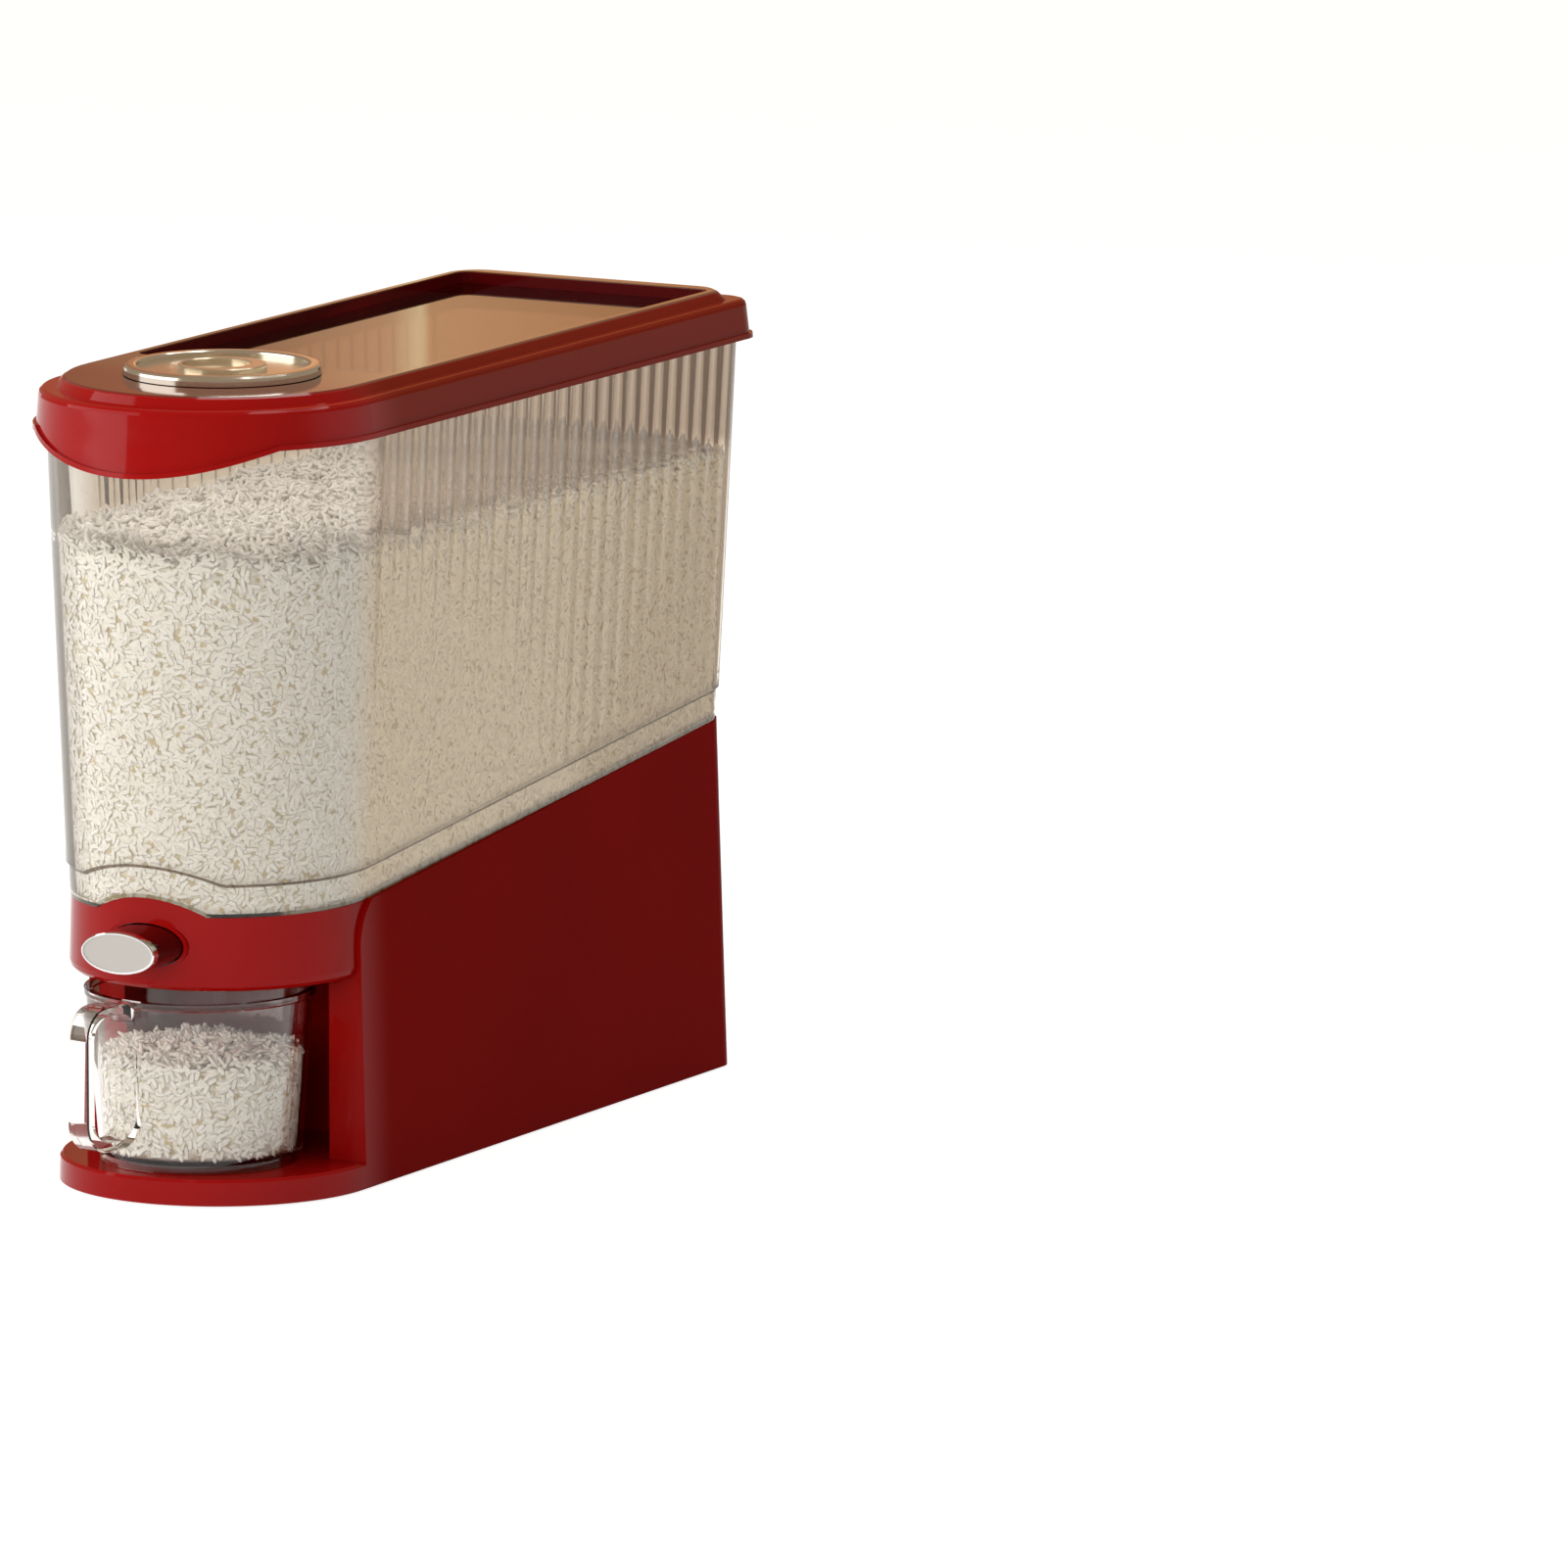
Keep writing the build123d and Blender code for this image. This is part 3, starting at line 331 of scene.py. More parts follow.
@dataclass(frozen=True)
class MouldedPlastic:
    """Opaque moulded plastic: faint colour drift, fine skin bump, slightly uneven gloss, and where asked a darker
    colour behind the nose that is painted shade.

    Attributes:
        name: Name of the finish.
        colour: Base colour, linear.
        roughness: Middle roughness.
        drift: Share by which the colour wanders.
        coat: Weight of the clear gloss on top.
        skin: Strength of the fine bump.
        grain_scale: Number of bump lumps to a metre.
        metallic: Metal share, for plated plastic.
        shine: Specular level, 0.5 for common plastic.
        rear_shade_colour: Darker colour behind the nose, painted shade of the sides, or None for one colour throughout.
        rear_shine: Specular level behind the nose.
    """

    name: str
    colour: tuple[float, float, float]
    roughness: float
    drift: float = 0.04
    coat: float = 0.0
    skin: float = 0.04
    grain_scale: float = 900.0
    metallic: float = 0.0
    shine: float = 0.5
    rear_shade_colour: tuple[float, float, float] | None = None
    rear_shine: float = 0.5

    def material(self) -> bpy.types.Material:
        """Builds the node material."""
        board = NodeBoard(self.name)
        shader = board.add("ShaderNodeBsdfPrincipled")
        wander = board.noise(11.0, 2.0)
        tone = board.ramp(
            wander.outputs["Fac"], scaled(self.colour, 1 - self.drift), scaled(self.colour, 1 + self.drift)
        )
        shader.inputs["Specular IOR Level"].default_value = self.shine
        if self.rear_shade_colour is None:
            board.link(tone.outputs["Color"], shader.inputs["Base Color"])
        else:
            # Painted shade: from the nose back, the colour turns to the darker rear colour of the shaded sides.
            behind = board.along("Y", NOSE_Y - 25, NOSE_Y + 25)
            rear = board.ramp(
                wander.outputs["Fac"], scaled(self.rear_shade_colour, 1 - self.drift), scaled(self.rear_shade_colour, 1 + self.drift)
            )
            board.link(board.blend(behind, tone.outputs["Color"], rear.outputs["Color"]), shader.inputs["Base Color"])
            board.link(board.range(behind, self.shine, self.rear_shine), shader.inputs["Specular IOR Level"])
        gloss = board.noise(35.0, 3.0)
        rough = board.add("ShaderNodeMapRange")
        rough.inputs["To Min"].default_value = self.roughness * 0.8
        rough.inputs["To Max"].default_value = self.roughness * 1.2
        board.link(gloss.outputs["Fac"], rough.inputs["Value"])
        board.link(rough.outputs["Result"], shader.inputs["Roughness"])
        fine = board.noise(self.grain_scale, 2.0)
        bump = board.add("ShaderNodeBump")
        bump.inputs["Strength"].default_value = self.skin
        bump.inputs["Distance"].default_value = 0.0002
        board.link(fine.outputs["Fac"], bump.inputs["Height"])
        board.link(bump.outputs["Normal"], shader.inputs["Normal"])
        shader.inputs["Metallic"].default_value = self.metallic
        shader.inputs["Coat Weight"].default_value = self.coat
        shader.inputs["Coat Roughness"].default_value = 0.03
        return board.finish(shader.outputs["BSDF"])


@dataclass(frozen=True)
class LidPlastic(MouldedPlastic):
    """The lid's red, with painted light: a painted warm reflection on its level top, a painted shadow in the narrow gap
    round the cap and painted shade on the walls of the window's recess.

    Attributes:
        top_level: Height over which the top's painted reflection holds.
        nose_top_reflection: Colour of the top at the nose, a painted reflection, linear.
        rear_top_reflection: Colour of the top from the cap on, a painted warm reflection.
        top_shine: Specular level of the top.
        cap_centre: Place of the cap's axis.
        gap_shadow_reach: Radius of the painted shadow in the gap round the cap.
        recess: Half width, front and lowest height of the window's recess.
        recess_shade_tone: Colour of the recess's walls, painted shade, linear.
    """

    top_level: float = 345.5
    nose_top_reflection: tuple[float, float, float] = (0.17, 0.022, 0.012)
    rear_top_reflection: tuple[float, float, float] = (0.20, 0.085, 0.04)
    top_shine: float = 0.4
    cap_centre: tuple[float, float] = (0.0, NOSE_Y + 1.7)
    gap_shadow_reach: float = 42.9
    recess: tuple[float, float, float] = (RECESS_HALF, NOSE_Y + 33.7, 341.0)
    recess_shade_tone: tuple[float, float, float] = (0.10, 0.003, 0.004)

    def material(self) -> bpy.types.Material:
        """Builds the node material."""
        material = super().material()
        board = NodeBoard.of(material)
        shader = next(node for node in board.tree.nodes if node.type == "BSDF_PRINCIPLED")
        side_tone = shader.inputs["Base Color"].links[0].from_socket
        side_shine = shader.inputs["Specular IOR Level"].links[0].from_socket
        # Painted reflection: the level top takes a browner tone that stands in for the warm room it mirrors.
        top = board.along("Z", self.top_level - 0.3, self.top_level + 0.3)
        painted_top_tone = board.blend(board.along("Y", NOSE_Y - 25, NOSE_Y + 22), self.nose_top_reflection, self.rear_top_reflection)
        # Painted shadow: a near-black ring on the top in the narrow gap round the cap.
        coordinates = board.add("ShaderNodeTexCoord")
        offset = board.add("ShaderNodeMapping")
        offset.inputs["Location"].default_value = (-self.cap_centre[0] * TO_METRES, -self.cap_centre[1] * TO_METRES, 0.0)
        offset.inputs["Scale"].default_value = (1.0, 1.0, 0.0)
        reach = board.add("ShaderNodeVectorMath", operation="LENGTH")
        away = board.add("ShaderNodeMapRange", interpolation_type="SMOOTHSTEP")
        away.inputs["From Min"].default_value = (self.gap_shadow_reach - 0.2) * TO_METRES
        away.inputs["From Max"].default_value = (self.gap_shadow_reach + 0.3) * TO_METRES
        board.link(coordinates.outputs["Object"], offset.inputs["Vector"])
        board.link(offset.outputs["Vector"], reach.inputs[0])
        board.link(reach.outputs["Value"], away.inputs["Value"])
        painted_top_tone = board.blend(away.outputs["Result"], (0.01, 0.002, 0.001), painted_top_tone)
        # Painted shade: the walls of the window's recess are darkened.
        place = board.add("ShaderNodeSeparateXYZ")
        board.link(coordinates.outputs["Object"], place.inputs[0])
        aside = board.add("ShaderNodeMath", operation="ABSOLUTE")
        board.link(place.outputs["X"], aside.inputs[0])
        inside = board.add("ShaderNodeMath", operation="LESS_THAN")
        inside.inputs[1].default_value = (self.recess[0] + 0.2) * TO_METRES
        board.link(aside.outputs["Value"], inside.inputs[0])
        beyond = board.add("ShaderNodeMath", operation="GREATER_THAN")
        beyond.inputs[1].default_value = (self.recess[1] - 0.2) * TO_METRES
        board.link(place.outputs["Y"], beyond.inputs[0])
        before = board.add("ShaderNodeMath", operation="LESS_THAN")
        before.inputs[1].default_value = (RECESS_REAR + 0.2) * TO_METRES
        board.link(place.outputs["Y"], before.inputs[0])
        lid_part = board.add("ShaderNodeMath", operation="MULTIPLY")
        board.link(inside.outputs["Value"], lid_part.inputs[0])
        board.link(beyond.outputs["Value"], lid_part.inputs[1])
        walls = board.add("ShaderNodeMath", operation="MULTIPLY")
        board.link(lid_part.outputs["Value"], walls.inputs[0])
        board.link(before.outputs["Value"], walls.inputs[1])
        side_tone = board.blend(walls.outputs["Value"], side_tone, self.recess_shade_tone)
        board.link(board.blend(top, side_tone, painted_top_tone), shader.inputs["Base Color"])
        level = board.add("ShaderNodeMix", data_type="FLOAT")
        board.link(top, level.inputs[0])
        board.link(side_shine, level.inputs[2])
        level.inputs[3].default_value = self.top_shine
        board.link(level.outputs[0], shader.inputs["Specular IOR Level"])
        return material


@dataclass(frozen=True)
class ClearPlastic:
    """Clear moulded plastic that lets the lamps through to what it holds.

    Attributes:
        name: Name of the finish.
        tint: Colour of what passes, linear.
        ior: Index of refraction.
        roughness: Roughness of its faces.
        ripple: Strength of the faint unevenness of its faces.
        depth_tint: Colour that long ways through the plastic take on.
        depth_density: How fast they take it on, to a metre.
        lamp_share: Colour of the lamplight that it lets through.
    """

    name: str
    tint: tuple[float, float, float]
    ior: float = 1.5
    roughness: float = 0.02
    ripple: float = 0.006
    depth_tint: tuple[float, float, float] = (0.62, 0.52, 0.40)
    depth_density: float = 15.0
    lamp_share: tuple[float, float, float] = (0.97, 0.96, 0.94)

    def material(self) -> bpy.types.Material:
        """Builds the node material."""
        board = NodeBoard(self.name)
        shader = board.add("ShaderNodeBsdfPrincipled")
        shader.inputs["Base Color"].default_value = (*self.tint, 1.0)
        shader.inputs["Transmission Weight"].default_value = 1.0
        shader.inputs["IOR"].default_value = self.ior
        shader.inputs["Roughness"].default_value = self.roughness
        wave = board.noise(60.0, 1.0)
        bump = board.add("ShaderNodeBump")
        bump.inputs["Strength"].default_value = self.ripple
        bump.inputs["Distance"].default_value = 0.0004
        board.link(wave.outputs["Fac"], bump.inputs["Height"])
        board.link(bump.outputs["Normal"], shader.inputs["Normal"])
        through = board.add("ShaderNodeBsdfTransparent")
        through.inputs["Color"].default_value = (*self.lamp_share, 1.0)
        path = board.add("ShaderNodeLightPath")
        mix = board.add("ShaderNodeMixShader")
        board.link(path.outputs["Is Shadow Ray"], mix.inputs[0])
        board.link(shader.outputs["BSDF"], mix.inputs[1])
        board.link(through.outputs["BSDF"], mix.inputs[2])
        depth = board.add("ShaderNodeVolumeAbsorption")
        depth.inputs["Color"].default_value = (*self.depth_tint, 1.0)
        depth.inputs["Density"].default_value = self.depth_density
        return board.finish(mix.outputs["Shader"], depth.outputs["Volume"])


@dataclass(frozen=True)
class HopperPlastic(ClearPlastic):
    """The hopper's clear plastic: water-clear at the nose, softer along the flutes and tinted warmer there, a painted
    warm reflection.

    Above the rice the walls take a darker tint, painted shade of the dim space under the lid. The thick edge at the
    step carries a painted dark line of shade, by the mesh's step_shade_tone, and the edge at the foot a grey-green
    tone, by foot_tone.

    Attributes:
        flute_reflection_tint: Warmer tint along the flutes, a painted warm reflection.
        headspace_shade_tint: Tint of the nose above the rice, painted shade.
        flute_headspace_shade_tint: Tint along the flutes above the rice, painted shade and painted warm reflection.
        step_shade_tint: Dark tint of the edge at the step, a painted line of shade.
        foot_tint: Tint of the edge at the foot.
        flute_roughness: Roughness along the flutes.
        headspace_shade_low: Height where the painted shade begins.
        headspace_shade_high: Height where it is full.
    """

    flute_reflection_tint: tuple[float, float, float] = (0.98, 0.90, 0.75)
    headspace_shade_tint: tuple[float, float, float] = (0.88, 0.86, 0.82)
    flute_headspace_shade_tint: tuple[float, float, float] = (0.56, 0.46, 0.35)
    step_shade_tint: tuple[float, float, float] = (0.08, 0.05, 0.03)
    foot_tint: tuple[float, float, float] = (0.34, 0.34, 0.26)
    flute_roughness: float = 0.03
    headspace_shade_low: float = 272.0
    headspace_shade_high: float = 284.0

    def material(self) -> bpy.types.Material:
        """Builds the node material."""
        material = super().material()
        board = NodeBoard.of(material)
        shader = next(node for node in board.tree.nodes if node.type == "BSDF_PRINCIPLED")
        # Painted reflection: behind the nose the flutes take a warmer tint.
        behind = board.along("Y", NOSE_Y - 15, NOSE_Y + 18)
        # Painted shade: above the rice the walls take a darker tint.
        above = board.along("Z", self.headspace_shade_low, self.headspace_shade_high)
        low = board.blend(behind, self.tint, self.flute_reflection_tint)
        high = board.blend(behind, self.headspace_shade_tint, self.flute_headspace_shade_tint)
        clear = board.blend(above, low, high)
        # Painted shade: the step's edge rows carry a dark line; the foot's rows a grey-green tone.
        for attribute, tint in (("step_shade_tone", self.step_shade_tint), ("foot_tone", self.foot_tint)):
            share = board.add("ShaderNodeAttribute", attribute_name=attribute).outputs["Fac"]
            clear = board.blend(share, clear, tint)
        board.link(clear, shader.inputs["Base Color"])
        board.link(board.range(behind, self.roughness, self.flute_roughness), shader.inputs["Roughness"])
        return material


@dataclass(frozen=True)
class RiceSkin:
    """Polished white rice: creamy, slightly glossy, each grain a little lighter or darker.

    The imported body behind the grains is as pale, with scattered straw-coloured specks.

    Attributes:
        name: Name of the finish.
        light: Colour of the palest grains, linear.
        dark: Colour of the warmest grains, linear.
        roughness: Roughness of the polish.
        speck: Colour of the specks, linear.
        per_grain: True if the colour follows the grain attribute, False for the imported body.
    """

    name: str
    light: tuple[float, float, float] = (0.95, 0.935, 0.88)
    dark: tuple[float, float, float] = (0.86, 0.82, 0.73)
    roughness: float = 0.42
    speck: tuple[float, float, float] = (0.60, 0.50, 0.30)
    per_grain: bool = True

    def material(self) -> bpy.types.Material:
        """Builds the node material."""
        board = NodeBoard(self.name)
        shader = board.add("ShaderNodeBsdfPrincipled")
        shader.inputs["Roughness"].default_value = self.roughness
        if self.per_grain:
            source = board.add("ShaderNodeAttribute", attribute_name="grain_tone").outputs["Fac"]
        else:
            coordinates = board.add("ShaderNodeTexCoord")
            cells = board.add("ShaderNodeTexVoronoi")
            cells.inputs["Scale"].default_value = 480.0
            board.link(coordinates.outputs["Object"], cells.inputs["Vector"])
            source = cells.outputs["Distance"]
            bump = board.add("ShaderNodeBump", invert=True)
            bump.inputs["Strength"].default_value = 0.3
            bump.inputs["Distance"].default_value = 0.001
            board.link(source, bump.inputs["Height"])
            board.link(bump.outputs["Normal"], shader.inputs["Normal"])
        tone = board.ramp(source, self.light, self.dark, 0.15, 0.95)
        if self.per_grain:
            board.link(tone.outputs["Color"], shader.inputs["Base Color"])
        else:
            spots = board.ramp(cells.outputs["Color"], (0, 0, 0), (1, 1, 1), 0.62, 0.7)
            board.link(board.blend(spots.outputs["Color"], tone.outputs["Color"], self.speck), shader.inputs["Base Color"])
        return board.finish(shader.outputs["BSDF"])


class Finishes:
    """Every finish of the dispenser, made once."""

    def __init__(self) -> None:
        """Builds the materials."""
        # The base's and the lid's rear colours paint shade on their sides behind the nose.
        self.red = MouldedPlastic(
            "red_gloss", (0.37, 0.004, 0.004), 0.07, 0.05, 0.0, 0.02, shine=0.12,
            rear_shade_colour=(0.24, 0.003, 0.0015), rear_shine=0.005,
        ).material()
        self.lid_red = LidPlastic(
            "lid_red", (0.38, 0.004, 0.004), 0.07, 0.05, 0.0, 0.02, shine=0.18,
            rear_shade_colour=(0.24, 0.018, 0.006), rear_shine=0.04,
        ).material()
        self.dark_red = MouldedPlastic("button_barrel_red", (0.045, 0.002, 0.002), 0.06, 0.05, 0.3, 0.02).material()
        self.hopper = HopperPlastic("clear_hopper", (0.99, 0.985, 0.968), 1.49, 0.015).material()
        self.window = ClearPlastic("clear_window", (0.27, 0.15, 0.10), 1.49, 0.02).material()
        self.cup = ClearPlastic("clear_cup", (0.99, 0.985, 0.975), 1.5, 0.01).material()
        self.champagne = MouldedPlastic("champagne_cap", (0.78, 0.69, 0.53), 0.2, 0.03, 0.0, 0.02, metallic=0.9).material()
        self.ring = MouldedPlastic("cap_ring_metal", (0.80, 0.75, 0.65), 0.14, 0.02, 0.0, 0.01, metallic=1.0).material()
        self.bright = MouldedPlastic("bright_trim", (0.82, 0.82, 0.83), 0.07, 0.02, 0.0, 0.01, metallic=1.0).material()
        self.pale = MouldedPlastic("pale_face", (0.57, 0.56, 0.55), 0.3, 0.02, 0.4, 0.03).material()
        self.white_inner = MouldedPlastic("white_inner", (0.80, 0.79, 0.76), 0.45, 0.03, 0.0, 0.08).material()
        self.grey_cover = MouldedPlastic("grey_cover", (0.34, 0.34, 0.34), 0.5, 0.05, 0.0, 0.15, 700.0).material()
        self.seal = MouldedPlastic("seal_rubber", (0.70, 0.68, 0.64), 0.5, 0.03, 0.0, 0.05).material()
        self.foot = MouldedPlastic("foot_rubber", (0.02, 0.02, 0.02), 0.75, 0.2, 0.0, 0.3, 1500.0).material()
        self.steel = MouldedPlastic("screw_steel", (0.55, 0.55, 0.55), 0.3, 0.05, 0.0, 0.05, metallic=1.0).material()
        self.pouch = MouldedPlastic("pack_fabric", (0.80, 0.79, 0.75), 0.85, 0.06, 0.0, 0.5, 2500.0).material()
        self.grain = RiceSkin("rice_grain").material()
        self.packed_rice = RiceSkin("rice_packed", per_grain=False).material()


# ---- outlines -------------------------------------------------------------


@dataclass(frozen=True)
class HopperPlan:
    """The hopper's plan at any height: a round nose, straight sides and two small rear corners.

    The half width and the rear draw in downwards with the draft. Along each side run upright
    flutes, whose outline is a row of shallow outward waves.
    """

    half_width: float = 73.4
    nose_shift: float = 2.2
    rear_reach: float = 331.5
    corner: float = 11.0
    draft: float = 2.3
    lid_line: float = 324.6
    flute_depth: float = 0.9
    flutes: int = 25
    flute_front: float = 12.0
    flute_rear: float = 3.0
    seam_level: float = 123.6
    seam_bend: float = 8.0
    seam_slope: float = 5.9
    seam_radius: float = 120.0
    arch_half: float = 27.0
    arch_rise: float = 7.4

    def half_at(self, z: np.ndarray) -> np.ndarray:
        """Half width at heights z: the width at the lid less the draft's share of the drop."""
        return self.half_width - (self.lid_line - z) * math.tan(math.radians(self.draft))

    def rear_at(self, z: np.ndarray) -> np.ndarray:
        """Rear face's Y at heights z."""
        return NOSE_Y + self.rear_reach - (self.lid_line - z) * math.tan(math.radians(self.draft))

    def seam(self, x: np.ndarray, y: np.ndarray, lift: float) -> np.ndarray:
        """Height of the seam line: level in front, an arc up over the button, a slope behind.

        The bend between level and slope is a parabola with the bend's radius at its foot.

        Args:
            x: Places across.
            y: Places along.
            lift: How far the line is raised.

        Returns:
            Heights in millimetres.
        """
        tangent = math.tan(math.radians(self.seam_slope))
        run = self.seam_radius * math.tan(math.radians(self.seam_slope / 2))
        reach = y - (NOSE_Y + self.seam_bend)
        bend = (reach + run) ** 2 / (2 * self.seam_radius)
        rise = np.where(reach < -run, 0.0, np.where(reach > run, reach * tangent, bend))
        grown = self.arch_half + lift / 2
        radius = (grown**2 + self.arch_rise**2) / (2 * self.arch_rise)
        arc = np.sqrt(np.maximum(radius**2 - x**2, 0)) - radius + self.arch_rise
        arch = np.where((y < NOSE_Y) & (np.abs(x) < grown), np.maximum(arc, 0), 0)
        return self.seam_level + lift + rise + arch

    def outline(self, z: np.ndarray, inset: float, flute: float = 0.0) -> tuple[np.ndarray, np.ndarray]:
        """Plan points round the hopper at heights z.

        The nose is an arc from the left side to the right, then the right side with its flutes,
        the rear with two corner arcs, and the left side back. A flute is
        x = low + depth * sin(pi f)^2 for the share f of its pitch.

        Args:
            z: Array (rows, stations) of heights.
            inset: How far the outline is drawn in.
            flute: Share of the flute depth, 0 for a plain side.

        Returns:
            Arrays of x and y, shaped as z.
        """
        segment, share, index = self.stations()
        half = self.half_at(z) - inset
        rear = self.rear_at(z) - inset
        corner = max(self.corner - inset, self.corner / 2)
        nose = NOSE_Y - self.nose_shift
        depth = self.flute_depth * flute
        low = half - depth
        first = NOSE_Y + self.flute_front
        last = rear - corner - self.flute_rear
        angle = (share - 0.5) * math.pi
        arc_x, arc_y = low * np.sin(angle), nose - half * np.cos(angle)
        lead_y = nose + share * (first - nose)
        pitch = (last - first) / self.flutes
        swell = depth * np.sin(share * math.pi) ** 2
        flute_y = first + (index + share) * pitch
        tail_y = last + share * (rear - corner - last)
        turn = share * math.pi / 2
        turn_x = low - corner + corner * np.cos(turn)
        turn_y = rear - corner + corner * np.sin(turn)
        back_x = (low - corner) * (1 - 2 * share)
        side_x = np.select([segment == 1, segment == 2, segment == 3, segment == 4], [low, low + swell, low, turn_x], 0.0)
        side_y = np.select([segment == 1, segment == 2, segment == 3, segment == 4], [lead_y, flute_y, tail_y, turn_y], 0.0)
        mirror = segment < 0
        step = np.abs(segment)
        left_x = -np.select([step == 1, step == 2, step == 3, step == 4], [low, low + swell, low, turn_x], 0.0)
        left_y = np.select([step == 1, step == 2, step == 3, step == 4], [lead_y, flute_y, tail_y, turn_y], 0.0)
        x = np.where(segment == 0, arc_x, np.where(segment == 5, back_x, np.where(mirror, left_x, side_x)))
        y = np.where(segment == 0, arc_y, np.where(segment == 5, rear + 0 * x, np.where(mirror, left_y, side_y)))
        return x, y

    def stations(self) -> tuple[np.ndarray, np.ndarray, np.ndarray]:
        """The stations round the outline: segment number, share along it, and flute number.

        Segments: 0 nose, 1 to 4 right lead, flutes, tail and corner, 5 rear, and the same
        negative on the left, run backwards.

        Returns:
            Three arrays (1, stations).
        """
        parts = [(0, np.arange(72) / 72, 0), (1, np.arange(3) / 3, 0)]
        per_flute = np.arange(8) / 8
        parts += [(2, per_flute, flute) for flute in range(self.flutes)]
        parts += [(3, np.array([0.0]), 0), (4, np.arange(8) / 8, 0), (5, np.arange(24) / 24, 0)]
        parts += [(-4, 1 - np.arange(8) / 8, 0), (-3, np.array([1.0]), 0)]
        parts += [(-2, 1 - per_flute, flute) for flute in reversed(range(self.flutes))]
        parts += [(-1, 1 - np.arange(3) / 3, 0)]
        segment = np.concatenate([np.full(len(share), kind) for kind, share, _ in parts])
        share = np.concatenate([share for _, share, _ in parts])
        index = np.concatenate([np.full(len(share), flute) for _, share, flute in parts])
        return segment[None], share[None], index[None]

    def at_seam(self, lift: float, inset: float, flute: float = 0.0) -> np.ndarray:
        """One row of points on the seam line: two rounds settle the height and the plan."""
        z = np.full(self.stations()[0].shape, self.seam_level + lift)
        for _ in range(3):
            x, y = self.outline(z, inset, flute)
            z = self.seam(x, y, lift)
        return np.stack([x, y, z], -1)

    def at_level(self, level: float, inset: float, flute: float = 0.0) -> np.ndarray:
        """One row of points at a level height."""
        z = np.full(self.stations()[0].shape, level)
        x, y = self.outline(z, inset, flute)
        return np.stack([x, y, z], -1)


# ---- sub-assemblies -------------------------------------------------------


@dataclass
class Hopper:
    """The clear hopper: fluted walls on a plain skirt, a ledge, a tub and a sloped floor."""

    finishes: Finishes
    plan: HopperPlan = field(default_factory=HopperPlan)
    wall: float = 3.5
    skirt_inset: float = 1.2
    step_rise: float = 14.6
    tub_inset: float = 5.8
    tub_wall: float = 1.8
    rim_bottom: float = 326.8
    rim_top: float = 336.2
    rim_inset: float = 1.5
    ledge: float = 2.2
    seam_gap: float = 0.3
    funnel_level: float = 109.5
    floor_slope: float = 7.0
    floor_thickness: float = 2.5
    shelf_level: float = 124.6
    shelf_reach: float = 36.0
    outlet_forward: float = 15.0
    outlet_length: float = 12.0

    def floor_at(self, y: np.ndarray) -> np.ndarray:
        """Height of the floor's top: a level shelf, a steep slope to the outlet, a long slope behind."""
        outlet = NOSE_Y - self.outlet_forward
        places = [NOSE_Y - 90, NOSE_Y - self.shelf_reach, outlet - self.outlet_length / 2, outlet + self.outlet_length / 2]
        rear = 400.0
        top = self.funnel_level + (rear - places[3]) * math.tan(math.radians(self.floor_slope))
        return np.interp(y, places + [rear], [self.shelf_level] * 2 + [self.funnel_level] * 2 + [top])

    def wall_rows(self) -> np.ndarray:
        """The closed section of the shell: up the outside, over the rim, down the inside, round the tub."""
        plan = self.plan
        lifts = [self.seam_gap, 1.8, 1.9, 5.0, 9.0, self.step_rise - 1.5, self.step_rise - 1.4, self.step_rise - 0.05]
        rows = [plan.at_seam(lift, self.skirt_inset) for lift in lifts]
        rows += [plan.at_seam(self.step_rise, self.skirt_inset - 0.1), plan.at_seam(self.step_rise, 0.1)]
        start = plan.at_seam(self.step_rise + 0.1, 0.0)
        for share in np.linspace(0, 1, 40):
            z = start[..., 2] * (1 - share) + self.rim_bottom * share
            flute = (0.15 + 0.85 * share**2) * min(1.0, share * 30)
            x, y = plan.outline(z, 0.0, flute)
            rows.append(np.stack([x, y, z], -1))
        rows += [plan.at_level(self.rim_bottom, self.rim_inset), plan.at_level(self.rim_top, self.rim_inset)]
        inner_low = plan.at_seam(self.seam_gap + self.ledge, self.wall)
        for share in np.linspace(0, 1, 24):
            z = self.rim_top * (1 - share) + inner_low[..., 2] * share
            x, y = plan.outline(z, self.wall)
            rows.append(np.stack([x, y, z], -1))
        return np.concatenate(rows)

    def tub_rows(self) -> np.ndarray:
        """The section of the tub: across the ledge, down its inside to the floor, and up outside."""
        plan = self.plan
        inner = plan.at_seam(self.seam_gap + self.ledge, self.tub_inset + self.tub_wall)
        foot_z = self.floor_at(inner[..., 1])
        x, y = plan.outline(foot_z, self.tub_inset + self.tub_wall)
        foot = np.stack([x, y, self.floor_at(y)], -1)
        outer = plan.at_seam(self.seam_gap, self.tub_inset)
        x, y = plan.outline(foot_z, self.tub_inset)
        under = np.stack([x, y, self.floor_at(y) - self.floor_thickness], -1)
        rows = [inner + (foot - inner) * share for share in np.linspace(0, 1, 6)]
        rows += [under + (outer - under) * share for share in np.linspace(0, 1, 6)]
        return np.concatenate(rows)

    def build(self) -> None:
        """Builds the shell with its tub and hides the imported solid."""
        rows = np.concatenate([self.wall_rows(), self.tub_rows()])
        surface = Surface(rows, closed_rows=True)
        mesh = mesh_from_arrays("hopper_shell", surface.points.reshape(-1, 3), surface.faces())
        shade(mesh, 40.0)
        # Painted shade: the step's rows get the dark line tone; the foot's rows the grey-green tone.
        for name, edge_rows in (("step_shade_tone", slice(6, 10)), ("foot_tone", slice(0, 2))):
            tone = np.zeros(rows.shape[:2], dtype=np.float32)
            tone[edge_rows] = 1.0
            mesh.attributes.new(name, "FLOAT", "POINT").data.foreach_set("value", tone.ravel())
        shell = place("hopper_shell", mesh, self.finishes.hopper, Body.HOPPER)
        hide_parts("hopper")


